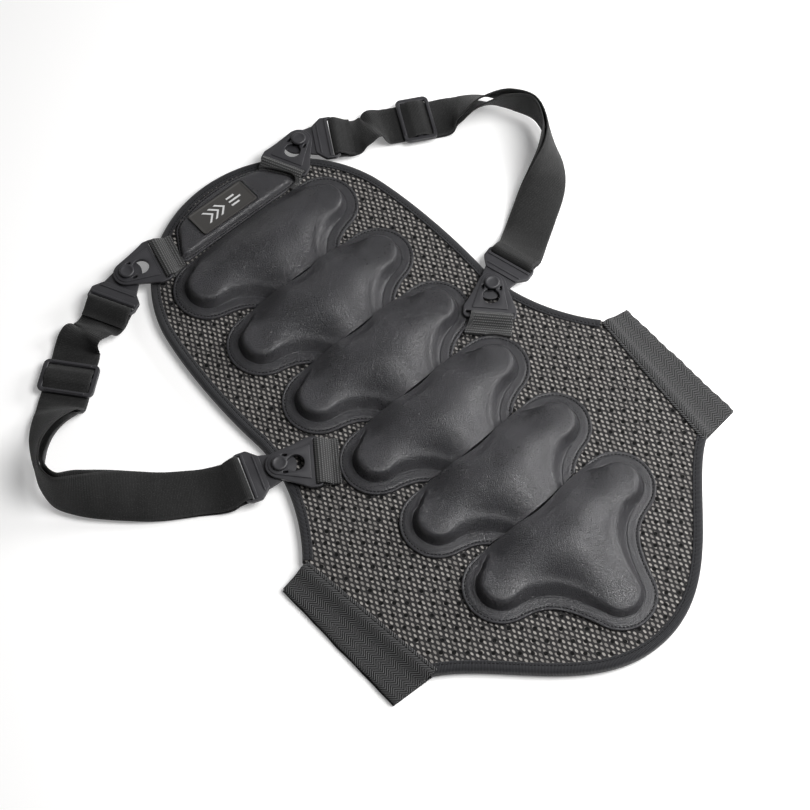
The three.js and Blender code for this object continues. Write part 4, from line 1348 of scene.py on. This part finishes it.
def build_strap(side):
    """Two layers of elastic, which part a little where the strap stands on its edge."""
    inner = STRAPS[side][0]
    centre, across, top, roll = strap_frames(side)
    body = f"strap_{side}"
    offset = (STRAP_THICK + LAYER_GAP) / 2
    t = np.linspace(0, 1, len(centre))[:, None]
    bend = smoothstep(0.5, 1.3, roll)[:, None]
    outer = centre + top * (offset + 4.5 * hump(t, 0.42, 0.11) + 1.6 * hump(t, 0.74, 0.08))
    outer = outer + across * (2.0 * bend)
    lower = centre - top * (offset + 1.2 * hump(t, 0.5, 0.06) * bend)
    lower = lower + across * (4.5 * bend) * (0.55 + 0.45 * hump(t, 0.62, 0.2))
    lower = lower + np.array([0, 0, 0.3]) * bend
    length = {}
    for layer, path, first, start in (("outer", outer, 0, 100), ("inner", lower, 14, 500)):
        name = f"strap_{layer}_{side}"
        piece, length[layer] = ribbon(f"{name}_webbing", path[first:], across[first:], STRAP_WIDTH,
                                      STRAP_THICK, start)
        finish_piece(piece, body, "elastic", [name])

    stud, _, angle = BUCKLES[f"upper_{side}"]
    line = [(46, 0, 8.5), (42, 0, 9.6), (38.5, 0, 11.9)] + around_bar(STUD_BAR, 70, 280)
    line += [(37, 0, 7.9), (41, 0, 6.6)]
    travel = unit(outer[1] - outer[0])
    line = [*in_frame(stud, angle, line), (*STRAPS[side][3], 4.4),
            outer[0] - travel * 8, outer[0] + travel * LAP]
    centres = even(through(line, 10), 1.0)
    along = np.linspace(0, 1, len(centres))
    sides = mix(across_of(angle) * -inner, across[0], smoothstep(0.45, 1.0, along)[:, None])
    twist = hump(along, 0.72, 0.13) * (1 - smoothstep(0.82, 0.93, along))
    sides[:, 2] = LEAD_TWIST * twist * (1 + 0.25 * np.sin(45 * along))
    centres[:, 2] += (STRAP_WIDTH / 2 * LEAD_TWIST + 1) * twist
    end_piece("upper", side, centres, sides, outer[0])
    rows = [(u, v, z) for u, z in ((41.5, 9.94), (44.8, 8.554)) for v in np.arange(-17, 17.1, 2.6)]
    sew(f"strap_end_upper_{side}_seam", in_frame(stud, angle, rows), END_STITCH,
        f"stud_upper_{side}")

    stud, _, angle = BUCKLES[f"lower_{side}"]
    ahead, ahead_lower = unit(outer[-1] - outer[-2]), unit(lower[-1] - lower[-2])
    line = [(43, 0, 9.2), (38.5, 0, 12.0)] + around_bar(STUD_BAR, 80, 280)
    line += [(39, 0, 7.2), (43, 0, 4.6)]
    line = [outer[-1] - ahead * LAP, outer[-1] + ahead * 8 + (0, 0, 0.8),
            *in_frame(stud, angle, line),
            lower[-1] + ahead_lower * 8 + (0, 0, 0.2), lower[-1] - ahead_lower * LAP]
    centres = even(through(line, 10), 1.0)
    along = np.linspace(0, 1, len(centres))
    share = smoothstep(0, 0.35, along) * (1 - smoothstep(0.65, 1, along))
    sides = mix(across[-1], across_of(angle) * inner, share[:, None])
    end_piece("lower", side, centres, sides, outer[-1], length["outer"] - LAP)


def end_piece(end, side, centres, sides, meeting, start=0.0):
    """The elastic from a strap, which it meets there, round the bar of a stud plate."""
    stud, _, angle = BUCKLES[f"{end}_{side}"]
    piece, _ = ribbon(f"strap_end_{end}_{side}_webbing", centres, sides, STRAP_WIDTH - LAP_EASE,
                      STRAP_THICK - LAP_EASE, start)
    finish_piece(piece, None, "elastic", [f"strap_end_{end}_{side}"])
    bar = in_frame(stud, angle, [(36, 0, STUD_BAR[1])])[0]
    tuple(meeting * MM)
    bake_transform(piece)


def build_slider(side):
    _, place, angle, _, _ = STRAPS[side]
    body = f"slider_{side}"
    finish_plastic(slider_frame(f"{body}_moulding"), place, angle, body, body)
    crown, foot = SLIDER_Z[1] + 0.3 + STRAP_THICK / 2, SLIDER_Z[0] + STRAP_THICK / 2
    half = [(-10.4, 0, foot - 0.2), (-9.2, 0, foot + 0.5), (-7, 0, crown - 1.6),
            (-4.2, 0, crown - 0.1)]
    arch = half + [(0, 0, crown + 0.3)] + [(-u, 0, z) for u, _, z in reversed(half)]
    centres = even(through(in_frame(place, angle, arch), 8), 0.8)
    sides = np.tile(across_of(angle), (len(centres), 1))
    wrap, _ = ribbon(f"slider_wrap_{side}_webbing", centres, sides, STRAP_WIDTH - 0.6, STRAP_THICK)
    finish_piece(wrap, body, "elastic", [f"slider_wrap_{side}"])


# ---- Assembly ----------------------------------------------------------------------------

add_camera()
add_studio()
looks = {
    "leather": leather(), "mesh": spacer_mesh(), "lining": warp_knit(), "grosgrain": grosgrain(),
    "twill": herringbone(), "elastic": elastic(), "coarse": coarse_weave(), "plastic": plastic(),
    "foam": foam(),
    # The thread is painted darker than the leather it matches: partly its own black, partly painted
    # shade of the needle holes.
    "thread": flecked("black_thread_and_hole_shade", 0.4, grey(0.003), grey(0.0075), 0.7, 0.08, 1,
                      specular_ior_level=0.15),
    "label": flecked("label_rubber", 0.5, grey(0.031, WARM), grey(0.04, WARM), 0.55, 0.05),
    "ink": flecked("label_ink", 0.7, grey(0.5), grey(0.62), 0.5, 0.04),
}
build_panel()
build_binding()
build_tabs()
build_plates()
build_neck_patch()
build_buckles()
for strap_side in STRAPS:
    build_strap(strap_side)
    build_slider(strap_side)
